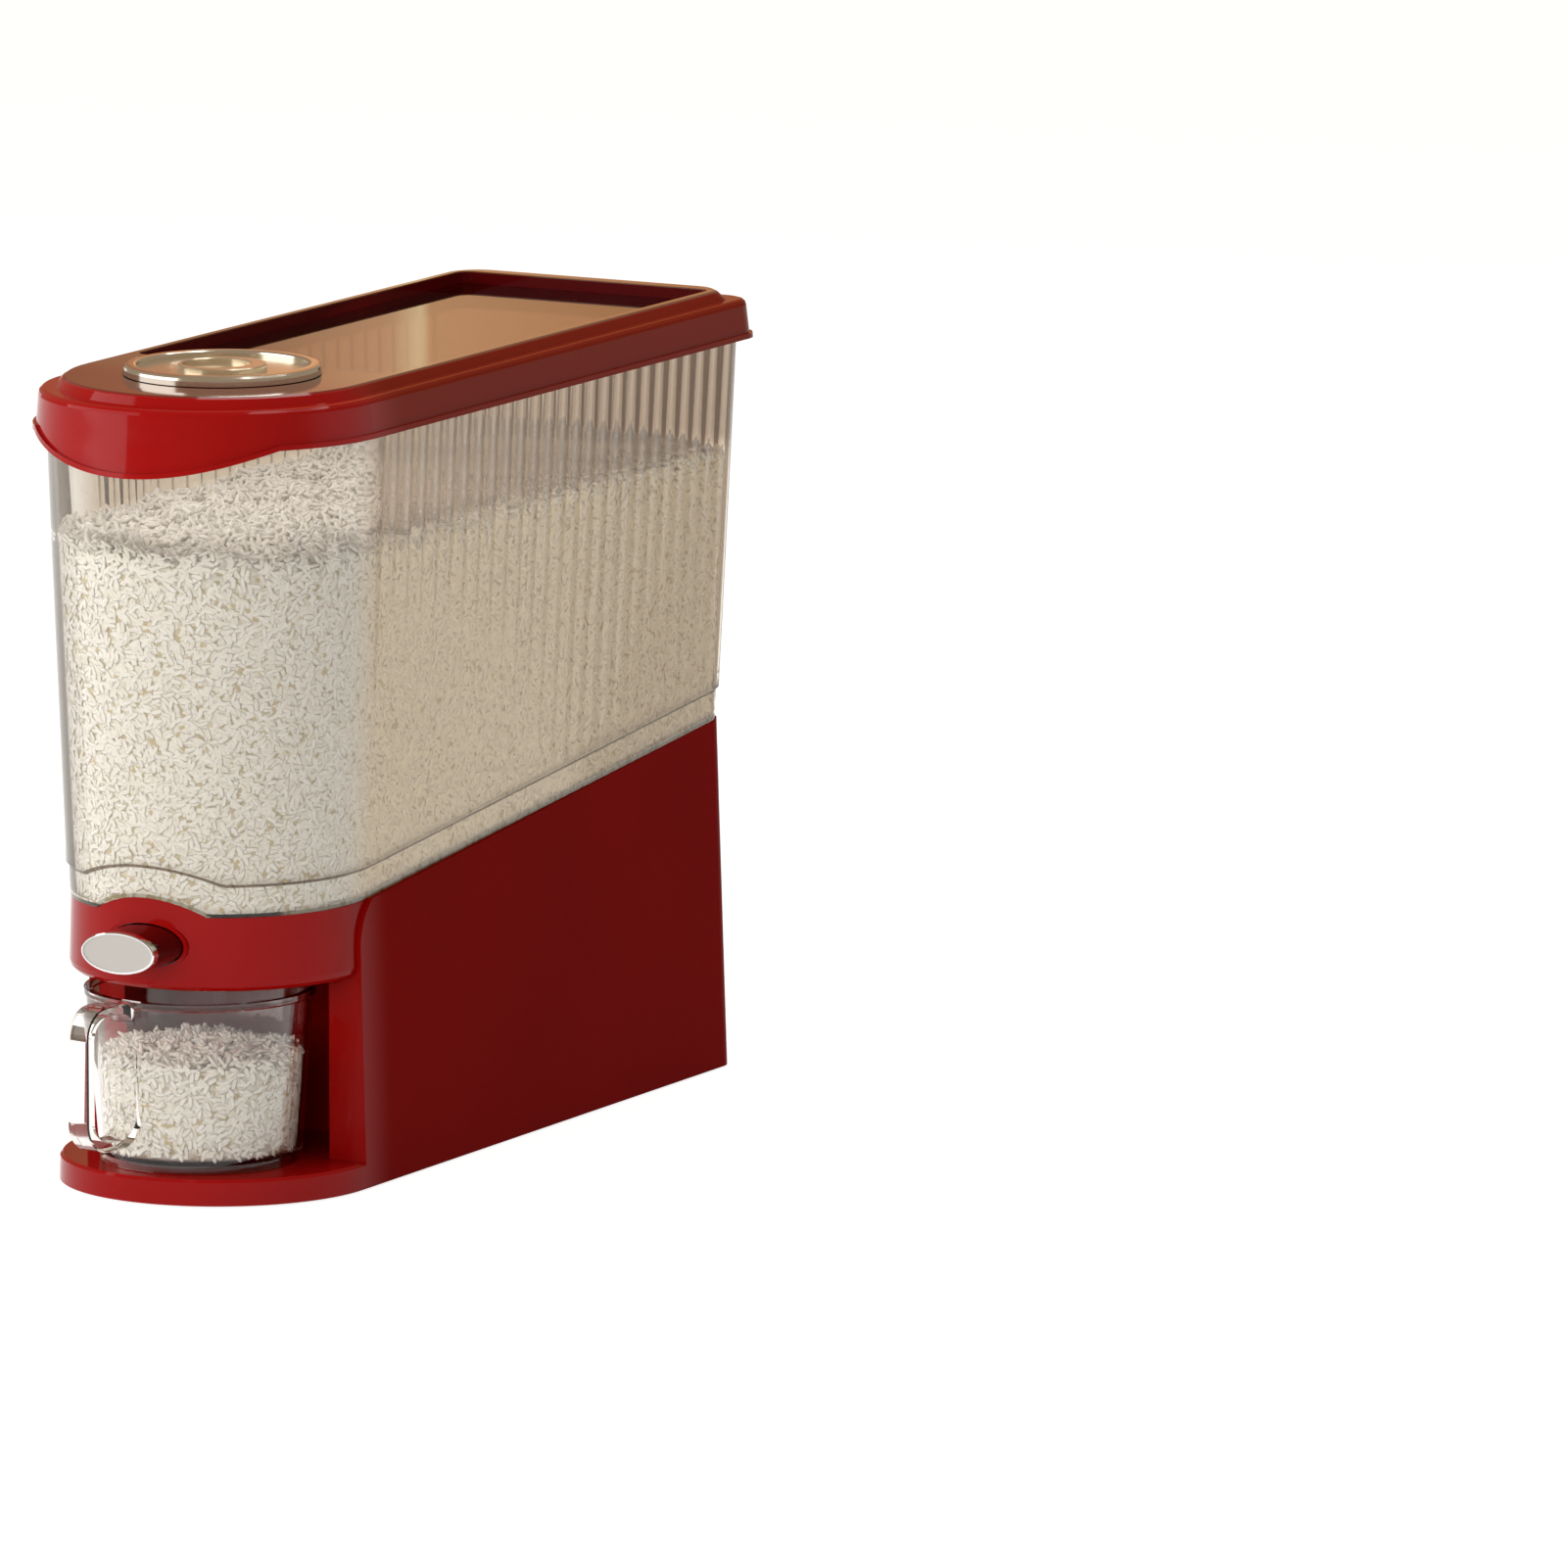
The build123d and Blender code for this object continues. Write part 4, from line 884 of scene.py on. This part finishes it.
@dataclass
class GrainShape:
    """One rice grain: a slender closed body with rounded ends, of a few dozen faces."""

    length: float = 6.5
    width: float = 2.15
    thickness: float = 1.75
    sides: int = 6
    rings: int = 4

    def points(self) -> np.ndarray:
        """The grain along X about its own centre.

        A ring at the share s of the length has the radius (1 - |2 s - 1|^2.6)^0.5, with a
        pole at each end.

        Returns:
            Array (n, 3) in millimetres.
        """
        along = np.linspace(-1, 1, self.rings + 2)[1:-1] * 1.12
        radius = np.sqrt(1 - np.abs(along) ** 2.6)
        turn = np.arange(self.sides) / self.sides * 2 * math.pi
        x = np.repeat(along * self.length / 2, self.sides)
        y = np.outer(radius, np.cos(turn)).ravel() * self.width / 2
        z = np.outer(radius, np.sin(turn)).ravel() * self.thickness / 2
        body = np.stack([x, y, z], 1)
        ends = np.array([[-self.length / 2, 0, 0], [self.length / 2, 0, 0]])
        return np.concatenate([body, ends])

    def faces(self) -> np.ndarray:
        """Triangles of the grain, turned outwards."""
        sides, rings = self.sides, self.rings
        side = np.arange(sides)
        beside = (side + 1) % sides
        quads = []
        for ring in range(rings - 1):
            low, high = ring * sides, (ring + 1) * sides
            quads.append(np.stack([low + side, high + side, high + beside], 1))
            quads.append(np.stack([low + side, high + beside, low + beside], 1))
        first, last = rings * sides, rings * sides + 1
        top = (rings - 1) * sides
        quads.append(np.stack([np.full(sides, first), side, beside], 1))
        quads.append(np.stack([np.full(sides, last), top + beside, top + side], 1))
        return np.concatenate(quads)


class GrainBed:
    """Lays grains at places with given directions and makes them into meshes."""

    PER_PIECE = 3800

    def __init__(self, seed: int, shape: GrainShape) -> None:
        """Starts an empty bed.

        Args:
            seed: Seed of the random draws.
            shape: The grain to repeat.
        """
        self.random = np.random.default_rng(seed)
        self.shape = shape
        self.places: list[np.ndarray] = []
        self.turns: list[np.ndarray] = []

    def lay(self, places: np.ndarray, normals: np.ndarray, tilt: float) -> None:
        """Adds grains that lie against a surface.

        Each grain's long axis is a random direction in the surface, tilted out of it by a
        normal draw of the tilt.

        Args:
            places: Array (n, 3) of centres.
            normals: Array (n, 3) of the surface's directions.
            tilt: Spread of the tilt in degrees.
        """
        count = len(places)
        normals = normals / np.linalg.norm(normals, axis=1, keepdims=True)
        helper = np.where(np.abs(normals[:, 2:]) > 0.9, [[1.0, 0.0, 0.0]], [[0.0, 0.0, 1.0]])
        first = np.cross(helper, normals)
        first /= np.linalg.norm(first, axis=1, keepdims=True)
        second = np.cross(normals, first)
        turn = self.random.uniform(0, math.pi, (count, 1))
        lift = np.radians(self.random.normal(0, tilt, (count, 1)))
        flat = first * np.cos(turn) + second * np.sin(turn)
        long_axis = flat * np.cos(lift) + normals * np.sin(lift)
        up_axis = normals * np.cos(lift) - flat * np.sin(lift)
        side_axis = np.cross(up_axis, long_axis)
        self.places.append(places)
        self.turns.append(np.stack([long_axis, side_axis, up_axis], 2))

    def build(self, name: str, finishes: Finishes, body: Body) -> None:
        """Makes the grains into pieces of at most PER_PIECE grains.

        Args:
            name: First part of the pieces' names.
            finishes: The finishes.
            body: The moving group that carries the grains.
        """
        places = np.concatenate(self.places)
        turns = np.concatenate(self.turns)
        size = self.random.uniform(0.82, 1.08, (len(places), 1, 3))
        tone = self.random.beta(2.0, 3.0, len(places))
        shape, faces = self.shape.points(), self.shape.faces()
        points = np.einsum("nij,nkj->nki", turns, shape[None] * size) + places[:, None]
        for number, start in enumerate(range(0, len(places), self.PER_PIECE)):
            part = points[start:start + self.PER_PIECE]
            offsets = np.arange(len(part))[:, None, None] * len(shape)
            mesh = mesh_from_arrays(f"{name}_{number + 1}", part.reshape(-1, 3), (faces[None] + offsets).reshape(-1, 3))
            attribute = mesh.attributes.new("grain_tone", "FLOAT", "POINT")
            attribute.data.foreach_set(
                "value", np.repeat(tone[start:start + self.PER_PIECE], len(shape)).astype(np.float32)
            )
            mesh.shade_smooth()
            place(f"{name}_{number + 1}", mesh, finishes.grain, body)


@dataclass
class HopperRice:
    """The rice in the hopper: a filled body with one skin of grains on its walls and its top."""

    finishes: Finishes
    hopper: Hopper
    level: float = 274.5
    left_rise: float = 4.5
    crown: float = 2.5
    body_inset: float = 4.65
    skin_inset: float = 4.3
    area_per_grain: float = 6.5

    def top(self, x: np.ndarray, y: np.ndarray) -> np.ndarray:
        """Height of the heap: a level, a rise to the left, a low crown and soft lumps."""
        across = np.clip(x / 69.0, -1, 1)
        lumps = (
            1.1 * np.sin(x / 9.0 + 1.3) * np.sin(y / 13.0 + 0.4) + 0.8 * np.sin(x / 17.0 - y / 11.0)
            + 0.7 * np.sin(y / 6.1 + x / 7.7 + 2.0)
        )
        return self.level + self.left_rise * (0.5 - 0.5 * across) + self.crown * (1 - across**2) + lumps

    def fill(self) -> None:
        """Builds the filled body: rows up its side, then rings that close to the middle of the top."""
        plan = self.hopper.plan
        low = plan.at_seam(2.0, self.body_inset)
        x, y = plan.outline(self.hopper.floor_at(low[..., 1]) + 1, self.body_inset)
        foot = np.stack([x, y, self.hopper.floor_at(y) + 0.4], -1)
        high = plan.at_level(self.level, self.body_inset)
        high[..., 2] = self.top(high[..., 0], high[..., 1]) - 2.2
        rows = [foot + (low - foot) * share for share in (0.0, 0.5, 1.0)]
        rows += [low + (high - low) * share for share in np.linspace(0.1, 1, 8)]
        spine_y = np.clip(high[..., 1], NOSE_Y - 2, NOSE_Y + 318)
        spine = np.stack([0 * spine_y, spine_y, 0 * spine_y], -1)
        for share in (0.25, 0.5, 0.75, 1.0):
            ring = high + (spine - high) * share
            ring[..., 2] = self.top(ring[..., 0], ring[..., 1]) - 2.2
            rows.append(ring)
        floor_spine = spine.copy()
        floor_spine[..., 2] = self.hopper.floor_at(spine_y) + 0.4
        rows = [floor_spine] + [self.floor_ring(foot, floor_spine, share) for share in np.linspace(0.94, 0.06, 14)] + rows
        surface = Surface(np.concatenate(rows))
        mesh = mesh_from_arrays("rice_body", surface.points.reshape(-1, 3), surface.faces())
        mesh.shade_smooth()
        place("rice_body", mesh, self.finishes.packed_rice, Body.HOPPER)

    def floor_ring(self, foot: np.ndarray, spine: np.ndarray, share: float) -> np.ndarray:
        """A ring of the body's underside, part way from its foot to its spine, just over the floor.

        Args:
            foot: The body's lowest row, round the walls.
            spine: The middle line that the rings close on.
            share: How far the ring has drawn in, from 0 at the foot to 1 at the spine.

        Returns:
            One row of points.
        """
        ring = foot + (spine - foot) * share
        ring[..., 2] = self.hopper.floor_at(ring[..., 1]) + 0.4 + 1.2 * min(1.0, 8 * min(share, 1 - share))
        return ring

    def skin(self, bed: GrainBed) -> None:
        """Lays the grains against the walls, from the seam to the heap."""
        plan, random = self.hopper.plan, bed.random
        ring = plan.at_level(210.0, self.skin_inset)[0]
        step = np.linalg.norm(np.roll(ring, -1, 0) - ring, axis=1)
        length = np.concatenate([[0], np.cumsum(step)])
        closed = np.concatenate([ring, ring[:1]])
        count = int(length[-1] * 165 / self.area_per_grain)
        along = random.uniform(0, length[-1], count)
        base_x, base_y = np.interp(along, length, closed[:, 0]), np.interp(along, length, closed[:, 1])
        ahead = (along + 1.0) % length[-1]
        dx = np.interp(ahead, length, closed[:, 0]) - base_x
        dy = np.interp(ahead, length, closed[:, 1]) - base_y
        normal = np.stack([dy, -dx, 0 * dx], 1)
        normal /= np.linalg.norm(normal, axis=1, keepdims=True)
        low = plan.seam(base_x, base_y, 3.2)
        z = low + (self.top(base_x, base_y) + 0.5 - low) * random.uniform(0, 1, count) ** 0.97
        spread = (z - 210.0) * math.tan(math.radians(plan.draft))
        depth = random.uniform(0.0, 0.25, count)
        move = (spread - depth)[:, None] * normal
        places = np.stack([base_x, base_y, z], 1) + move
        bed.lay(places, normal, 1.5)

    def heap(self, bed: GrainBed) -> None:
        """Lays the grains of the top surface."""
        random = bed.random
        half, rear = 68.0, NOSE_Y + 321.0
        count = int(2 * half * (rear - NOSE_Y + half) / 6.0)
        x = random.uniform(-half, half, count)
        y = random.uniform(NOSE_Y - 2.2 - half, rear, count)
        inside = (y > NOSE_Y - 2.2) | (x**2 + (y - NOSE_Y + 2.2) ** 2 < half**2)
        x, y = x[inside], y[inside]
        z = self.top(x, y) + random.uniform(-2.4, 2.2, len(x))
        slope = 1.0
        ahead = (self.top(x + slope, y) - self.top(x, y)) / slope
        aside = (self.top(x, y + slope) - self.top(x, y)) / slope
        normals = np.stack([-ahead, -aside, np.ones_like(x)], 1)
        bed.lay(np.stack([x, y, z], 1), normals, 30.0)

    def build(self) -> None:
        """Builds the body and its grains."""
        self.fill()
        bed = GrainBed(7, GrainShape(length=5.7, width=2.3, thickness=0.4))
        self.skin(bed)
        bed.build("rice_grains", self.finishes, Body.HOPPER)
        loose = GrainBed(9, GrainShape(length=7.0, width=2.1, thickness=1.8))
        self.heap(loose)
        loose.build("heap_grains", self.finishes, Body.HOPPER)


@dataclass
class CupRice:
    """The rice in the measuring cup: a filled body under a skin of single grains."""

    finishes: Finishes
    centre_y: float = NOSE_Y - 20.0
    floor: float = 17.8
    level: float = 57.5
    crown: float = 5.0
    floor_radius: float = 41.2
    taper: float = 0.0757
    inset: float = 1.3

    def top(self, x: np.ndarray, y: np.ndarray) -> np.ndarray:
        """Height of the rice in the cup: a low crown with soft lumps."""
        reach = np.clip((x**2 + y**2) / self.floor_radius**2, 0, 1)
        return self.level + self.crown * (1 - reach) + 1.2 * np.sin(x / 7 + 0.5) * np.cos(y / 8) + 0.6 * np.sin(x / 3.7 - y / 4.1)

    def radius_at(self, z: np.ndarray) -> np.ndarray:
        """Inner radius of the cup at heights z."""
        return self.floor_radius + (z - self.floor) * self.taper

    def fill(self) -> None:
        """Builds the body: rings from the middle of the floor, up the wall and in over the top."""
        turn = np.arange(64) / 64 * 2 * math.pi
        cos, sin = np.cos(turn)[None], np.sin(turn)[None]
        radii = np.array([0.01, 20.0, 1.0, 1.0, 1.0, 0.75, 0.5, 0.25, 0.001])[:, None]
        side = self.radius_at(np.array([self.floor, self.floor, self.floor, self.level / 2, self.level]))[:, None] - 0.9 * self.inset
        radii[2:5] = side[2:5]
        radii[5:] *= side[4]
        x, y = radii * cos, radii * sin
        top = self.top(x, y) - 1.8
        z = np.where(np.arange(9)[:, None] < 3, self.floor + 0.3, top)
        z[3] = self.level / 2
        points = np.stack([x, y + self.centre_y, z], -1)
        surface = Surface(points)
        mesh = mesh_from_arrays("cup_rice_body", points.reshape(-1, 3), surface.faces())
        mesh.shade_smooth()
        place("cup_rice_body", mesh, self.finishes.packed_rice, Body.CUP)

    def build(self) -> None:
        """Builds the body and its grains."""
        self.fill()
        bed = GrainBed(11, GrainShape(length=5.7, width=2.3, thickness=0.4))
        random = bed.random
        count = int(2 * math.pi * 43 * (self.level - self.floor) / 7.0)
        turn = random.uniform(0, 2 * math.pi, count)
        z = self.floor + 1.0 + (self.level - self.floor) * random.uniform(0, 1, count)
        radius = self.radius_at(z) - self.inset * 0.6 - random.uniform(0, 0.25, count)
        normal = np.stack([np.cos(turn), np.sin(turn), 0 * turn], 1)
        places = normal * radius[:, None]
        places[:, 2] = z
        places[:, 1] += self.centre_y
        bed.lay(places, normal, 1.5)
        bed.build("cup_rice_grains", self.finishes, Body.CUP)
        bed = GrainBed(13, GrainShape(length=7.2, width=2.2, thickness=1.9))
        random = bed.random
        count = int(math.pi * 42**2 / 3.6)
        turn, reach = random.uniform(0, 2 * math.pi, count), np.sqrt(random.uniform(0, 1, count)) * 42.6
        x, y = reach * np.cos(turn), reach * np.sin(turn)
        z = self.top(x, y) + random.uniform(-2.2, 1.8, count)
        places = np.stack([x, y + self.centre_y, z], 1)
        bed.lay(places, np.tile([[0.0, 0.0, 1.0]], (count, 1)), 30.0)
        bed.build("cup_heap_grains", self.finishes, Body.CUP)


@dataclass
class Casing:
    """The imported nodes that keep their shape: each gets its own finish."""

    finishes: Finishes
    nodes: dict[str, bpy.types.Object]

    def table(self) -> dict[str, bpy.types.Material]:
        """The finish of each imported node."""
        f = self.finishes
        groups = {
            f.red: ["base_housing"],
            f.lid_red: ["lid_frame", "window_gasket"],
            f.dark_red: ["button_barrel"],
            f.grey_cover: ["bottom_cover"],
            f.steel: ["cover_screws", "gate_frame_screws", "return_spring_left", "return_spring_right"],
            f.foot: ["foot_pad_1", "foot_pad_2", "foot_pad_3", "foot_pad_4"],
            f.white_inner: ["discharge_chute", "gate_frame", "gate_slide", "desiccant_basket"],
            f.bright: ["button_rim"],
            f.pale: ["button_face"],
            f.seal: ["outlet_gasket", "lid_gasket"],
            f.window: ["lid_window"],
            f.champagne: ["cap_dish", "cap_grip", "cap_neck"],
            f.ring: ["cap_ring"],
            f.pouch: ["desiccant_pack"],
            f.cup: ["measuring_cup"],
        }
        return {node: material for material, nodes in groups.items() for node in nodes}

    def build(self) -> None:
        """Dresses the nodes."""
        for name, material in self.table().items():
            piece = self.nodes[name]
            piece.data.materials.clear()
            piece.data.materials.append(material)
            LOG.info("node %s: %s", name, material.name)


@dataclass
class Studio:
    """Pale floor, plain soft light and the camera at the photograph's angle."""

    lens: float = 394.3
    sensor: float = 36.0
    place: tuple[float, float, float] = (3.6372, -6.3347, 1.4188)
    right: tuple[float, float, float] = (0.87926, 0.47634, 0.0)
    up: tuple[float, float, float] = (-0.08147, 0.15038, 0.98526)
    back: tuple[float, float, float] = (0.46932, -0.86630, 0.17103)
    sky: float = 0.34
    sky_colour: tuple[float, float, float] = (1.0, 0.80, 0.60)
    card_reach: float = 2600.0
    card_turn: tuple[float, float] = (16.0, 46.0)
    card_height: tuple[float, float] = (150.0, 2300.0)
    card_tones: tuple[tuple[float, tuple[float, float, float]], ...] = (
        (16.0, (0.50, 0.24, 0.11)), (26.2, (0.72, 0.34, 0.15)), (29.08, (0.92, 0.50, 0.25)), (29.12, (1.25, 0.90, 0.50)),
        (29.5, (0.92, 0.52, 0.28)), (32.0, (0.52, 0.24, 0.13)), (34.0, (0.40, 0.19, 0.10)), (46.0, (0.30, 0.16, 0.10)),
    )
    shade_reach: float = 800.0
    shade_start: float = 250.0
    shade_height: float = 900.0
    shade_turns: tuple[tuple[float, float], ...] = ((-30.0, 11.0), (46.0, 105.0))
    shade_tones: tuple[tuple[float, float, float], ...] = ((0.27, 0.20, 0.14), (0.12, 0.08, 0.048))

    def camera(self) -> None:
        """Puts the camera where the photograph was taken."""
        data = bpy.data.cameras.new("camera")
        data.lens, data.sensor_width = self.lens, self.sensor
        data.clip_start, data.clip_end = 0.1, 100.0
        camera = bpy.data.objects.new("camera", data)
        bpy.context.scene.collection.objects.link(camera)
        turn = Matrix((self.right, self.up, self.back)).transposed().to_4x4()
        turn.translation = self.place
        camera.matrix_world = turn
        bpy.context.scene.camera = camera

    def floor(self) -> None:
        """Lays a wide pale floor that reads white to the camera and keeps the shadow."""
        reach = 30000.0
        points = np.array([[-reach, -reach, 0], [reach, -reach, 0], [reach, reach, 0], [-reach, reach, 0]])
        mesh = mesh_from_arrays("floor", points, np.array([[0, 1, 2, 3]]))
        floor = bpy.data.objects.new("floor", mesh)
        bpy.context.scene.collection.objects.link(floor)
        board = NodeBoard("floor_paint")
        plain, shown = board.add("ShaderNodeBsdfDiffuse"), board.add("ShaderNodeBsdfDiffuse")
        plain.inputs["Color"].default_value = (0.75, 0.74, 0.72, 1.0)
        shown.inputs["Color"].default_value = (0.42, 0.42, 0.42, 1.0)
        glow = board.add("ShaderNodeEmission")
        glow.inputs["Strength"].default_value = 0.86
        bright = board.add("ShaderNodeAddShader")
        board.link(shown.outputs["BSDF"], bright.inputs[0])
        board.link(glow.outputs["Emission"], bright.inputs[1])
        mix = board.add("ShaderNodeMixShader")
        board.link(seen_directly(board), mix.inputs[0])
        board.link(plain.outputs["BSDF"], mix.inputs[1])
        board.link(bright.outputs["Shader"], mix.inputs[2])
        mesh.materials.append(board.finish(mix.outputs["Shader"]))
        floor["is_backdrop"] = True

    def card(self) -> None:
        """Stands a warm folded card behind the object, seen only in glossy faces.

        The card is part of an upright cylinder, and its tone runs along the turn about +Z,
        counted from +Y towards -X, with a bright edge at the fold.
        """
        turn = np.radians(np.linspace(*self.card_turn, 301))[None]
        height = np.array(self.card_height)[:, None]
        x, y = -self.card_reach * np.sin(turn) + 0 * height, self.card_reach * np.cos(turn) + 0 * height
        points = np.stack([x, y, height + 0 * turn], -1)
        surface = Surface(points, closed_columns=False)
        mesh = mesh_from_arrays("warm_card", points.reshape(-1, 3), surface.faces())
        attribute = mesh.attributes.new("turn_share", "FLOAT", "POINT")
        attribute.data.foreach_set("value", np.tile(np.linspace(0, 1, 301), 2).astype(np.float32))
        card = bpy.data.objects.new("warm_card", mesh)
        bpy.context.scene.collection.objects.link(card)
        board = NodeBoard("card_paint")
        share = board.add("ShaderNodeAttribute", attribute_name="turn_share")
        ramp = board.add("ShaderNodeValToRGB")
        low, high = self.card_turn
        for number, (degrees, tone) in enumerate(self.card_tones):
            place = (degrees - low) / (high - low)
            ends = {0: 0, len(self.card_tones) - 1: -1}
            element = ramp.color_ramp.elements[ends[number]] if number in ends else ramp.color_ramp.elements.new(place)
            element.position, element.color = place, (*tone, 1.0)
        board.link(share.outputs["Fac"], ramp.inputs["Fac"])
        glow = board.add("ShaderNodeEmission")
        board.link(ramp.outputs["Color"], glow.inputs["Color"])
        mesh.materials.append(board.finish(glow.outputs["Emission"]))
        card.visible_camera = card.visible_diffuse = card.visible_transmission = card.visible_shadow = False
        card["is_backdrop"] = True

    def shades(self) -> None:
        """Stands a dim card on each side, seen only through clear plastic, so that its edges read dark.

        Each card is a part of a level ring near the floor that turns up into an upright cylinder
        round the object, with its turn counted from +Y towards -X.
        """
        radius = np.array([self.shade_start, self.shade_reach, self.shade_reach])[:, None]
        height = np.array([1.0, 1.0, self.shade_height])[:, None]
        for number, (span, tone) in enumerate(zip(self.shade_turns, self.shade_tones), 1):
            board = NodeBoard(f"shade_paint_{number}")
            glow = board.add("ShaderNodeEmission")
            glow.inputs["Color"].default_value = (*tone, 1.0)
            paint = board.finish(glow.outputs["Emission"])
            turn = np.radians(np.linspace(*span, 61))[None]
            points = np.stack([-radius * np.sin(turn), radius * np.cos(turn), height + 0 * turn], -1)
            mesh = mesh_from_arrays(f"shade_card_{number}", points.reshape(-1, 3), Surface(points, closed_columns=False).faces())
            mesh.materials.append(paint)
            card = bpy.data.objects.new(f"shade_card_{number}", mesh)
            bpy.context.scene.collection.objects.link(card)
            card.visible_camera = card.visible_diffuse = card.visible_glossy = card.visible_shadow = False
            card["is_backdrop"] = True

    def world(self) -> None:
        """A plain warm sky that lights evenly from all sides."""
        world = bpy.data.worlds.new("studio")
        bpy.context.scene.world = world
        world.use_nodes = True
        sky = world.node_tree.nodes["Background"]
        sky.inputs["Color"].default_value = (*self.sky_colour, 1.0)
        sky.inputs["Strength"].default_value = self.sky

    def lamp(
        self, name: str, place: tuple[float, float, float], size: tuple[float, float], power: float, mirrored: bool = True
    ) -> None:
        """Adds a soft rectangular lamp that faces the object.

        Args:
            name: Name of the lamp.
            place: Its centre in metres.
            size: Its width and height in metres.
            power: Its power in watts.
            mirrored: True if glossy faces show it.
        """
        data = bpy.data.lights.new(name, "AREA")
        data.shape, data.size, data.size_y, data.energy = "RECTANGLE", size[0], size[1], power
        lamp = bpy.data.objects.new(name, data)
        bpy.context.scene.collection.objects.link(lamp)
        back = np.array(place) - np.array([0.0, 0.0, 0.17])
        back /= np.linalg.norm(back)
        right = np.cross([0.0, 0.0, 1.0], back)
        right /= np.linalg.norm(right)
        turn = Matrix((right, np.cross(back, right), back)).transposed().to_4x4()
        turn.translation = place
        lamp.matrix_world = turn
        if not mirrored:
            lamp.visible_camera = lamp.visible_glossy = lamp.visible_transmission = False

    def build(self) -> None:
        """Builds the studio."""
        self.camera()
        self.floor()
        self.card()
        self.shades()
        self.world()
        self.lamp("key_lamp", (-2.1, -1.6, 1.4), (3.0, 2.6), 46.0)
        self.lamp("front_lamp", (0.4, -2.0, 0.62), (1.2, 1.0), 12.0, mirrored=False)
        self.lamp("headspace_lamp", (0.0, -0.03, 0.322), (0.11, 0.3), 0.075, mirrored=False)
        self.lamp("top_lamp", (0.1, 0.6, 2.2), (1.2, 1.2), 16.0)
        bpy.context.scene.view_settings.view_transform = "Standard"


def corners() -> list[list[float]]:
    """The shown object's box as plain lists of numbers."""
    low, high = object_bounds()
    return [list(low), list(high)]


def main() -> None:
    """Builds the studio, dresses the frame and adds the hopper's shell and the rice."""
    logging.basicConfig(level=logging.INFO, format="%(message)s")
    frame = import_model()
    Studio().build()
    finishes = Finishes()
    Casing(finishes, frame["nodes"]).build()
    hopper = Hopper(finishes)
    hopper.build()
    HopperRice(finishes, hopper).build()
    CupRice(finishes).build()


if __name__ == "__main__":
    main()
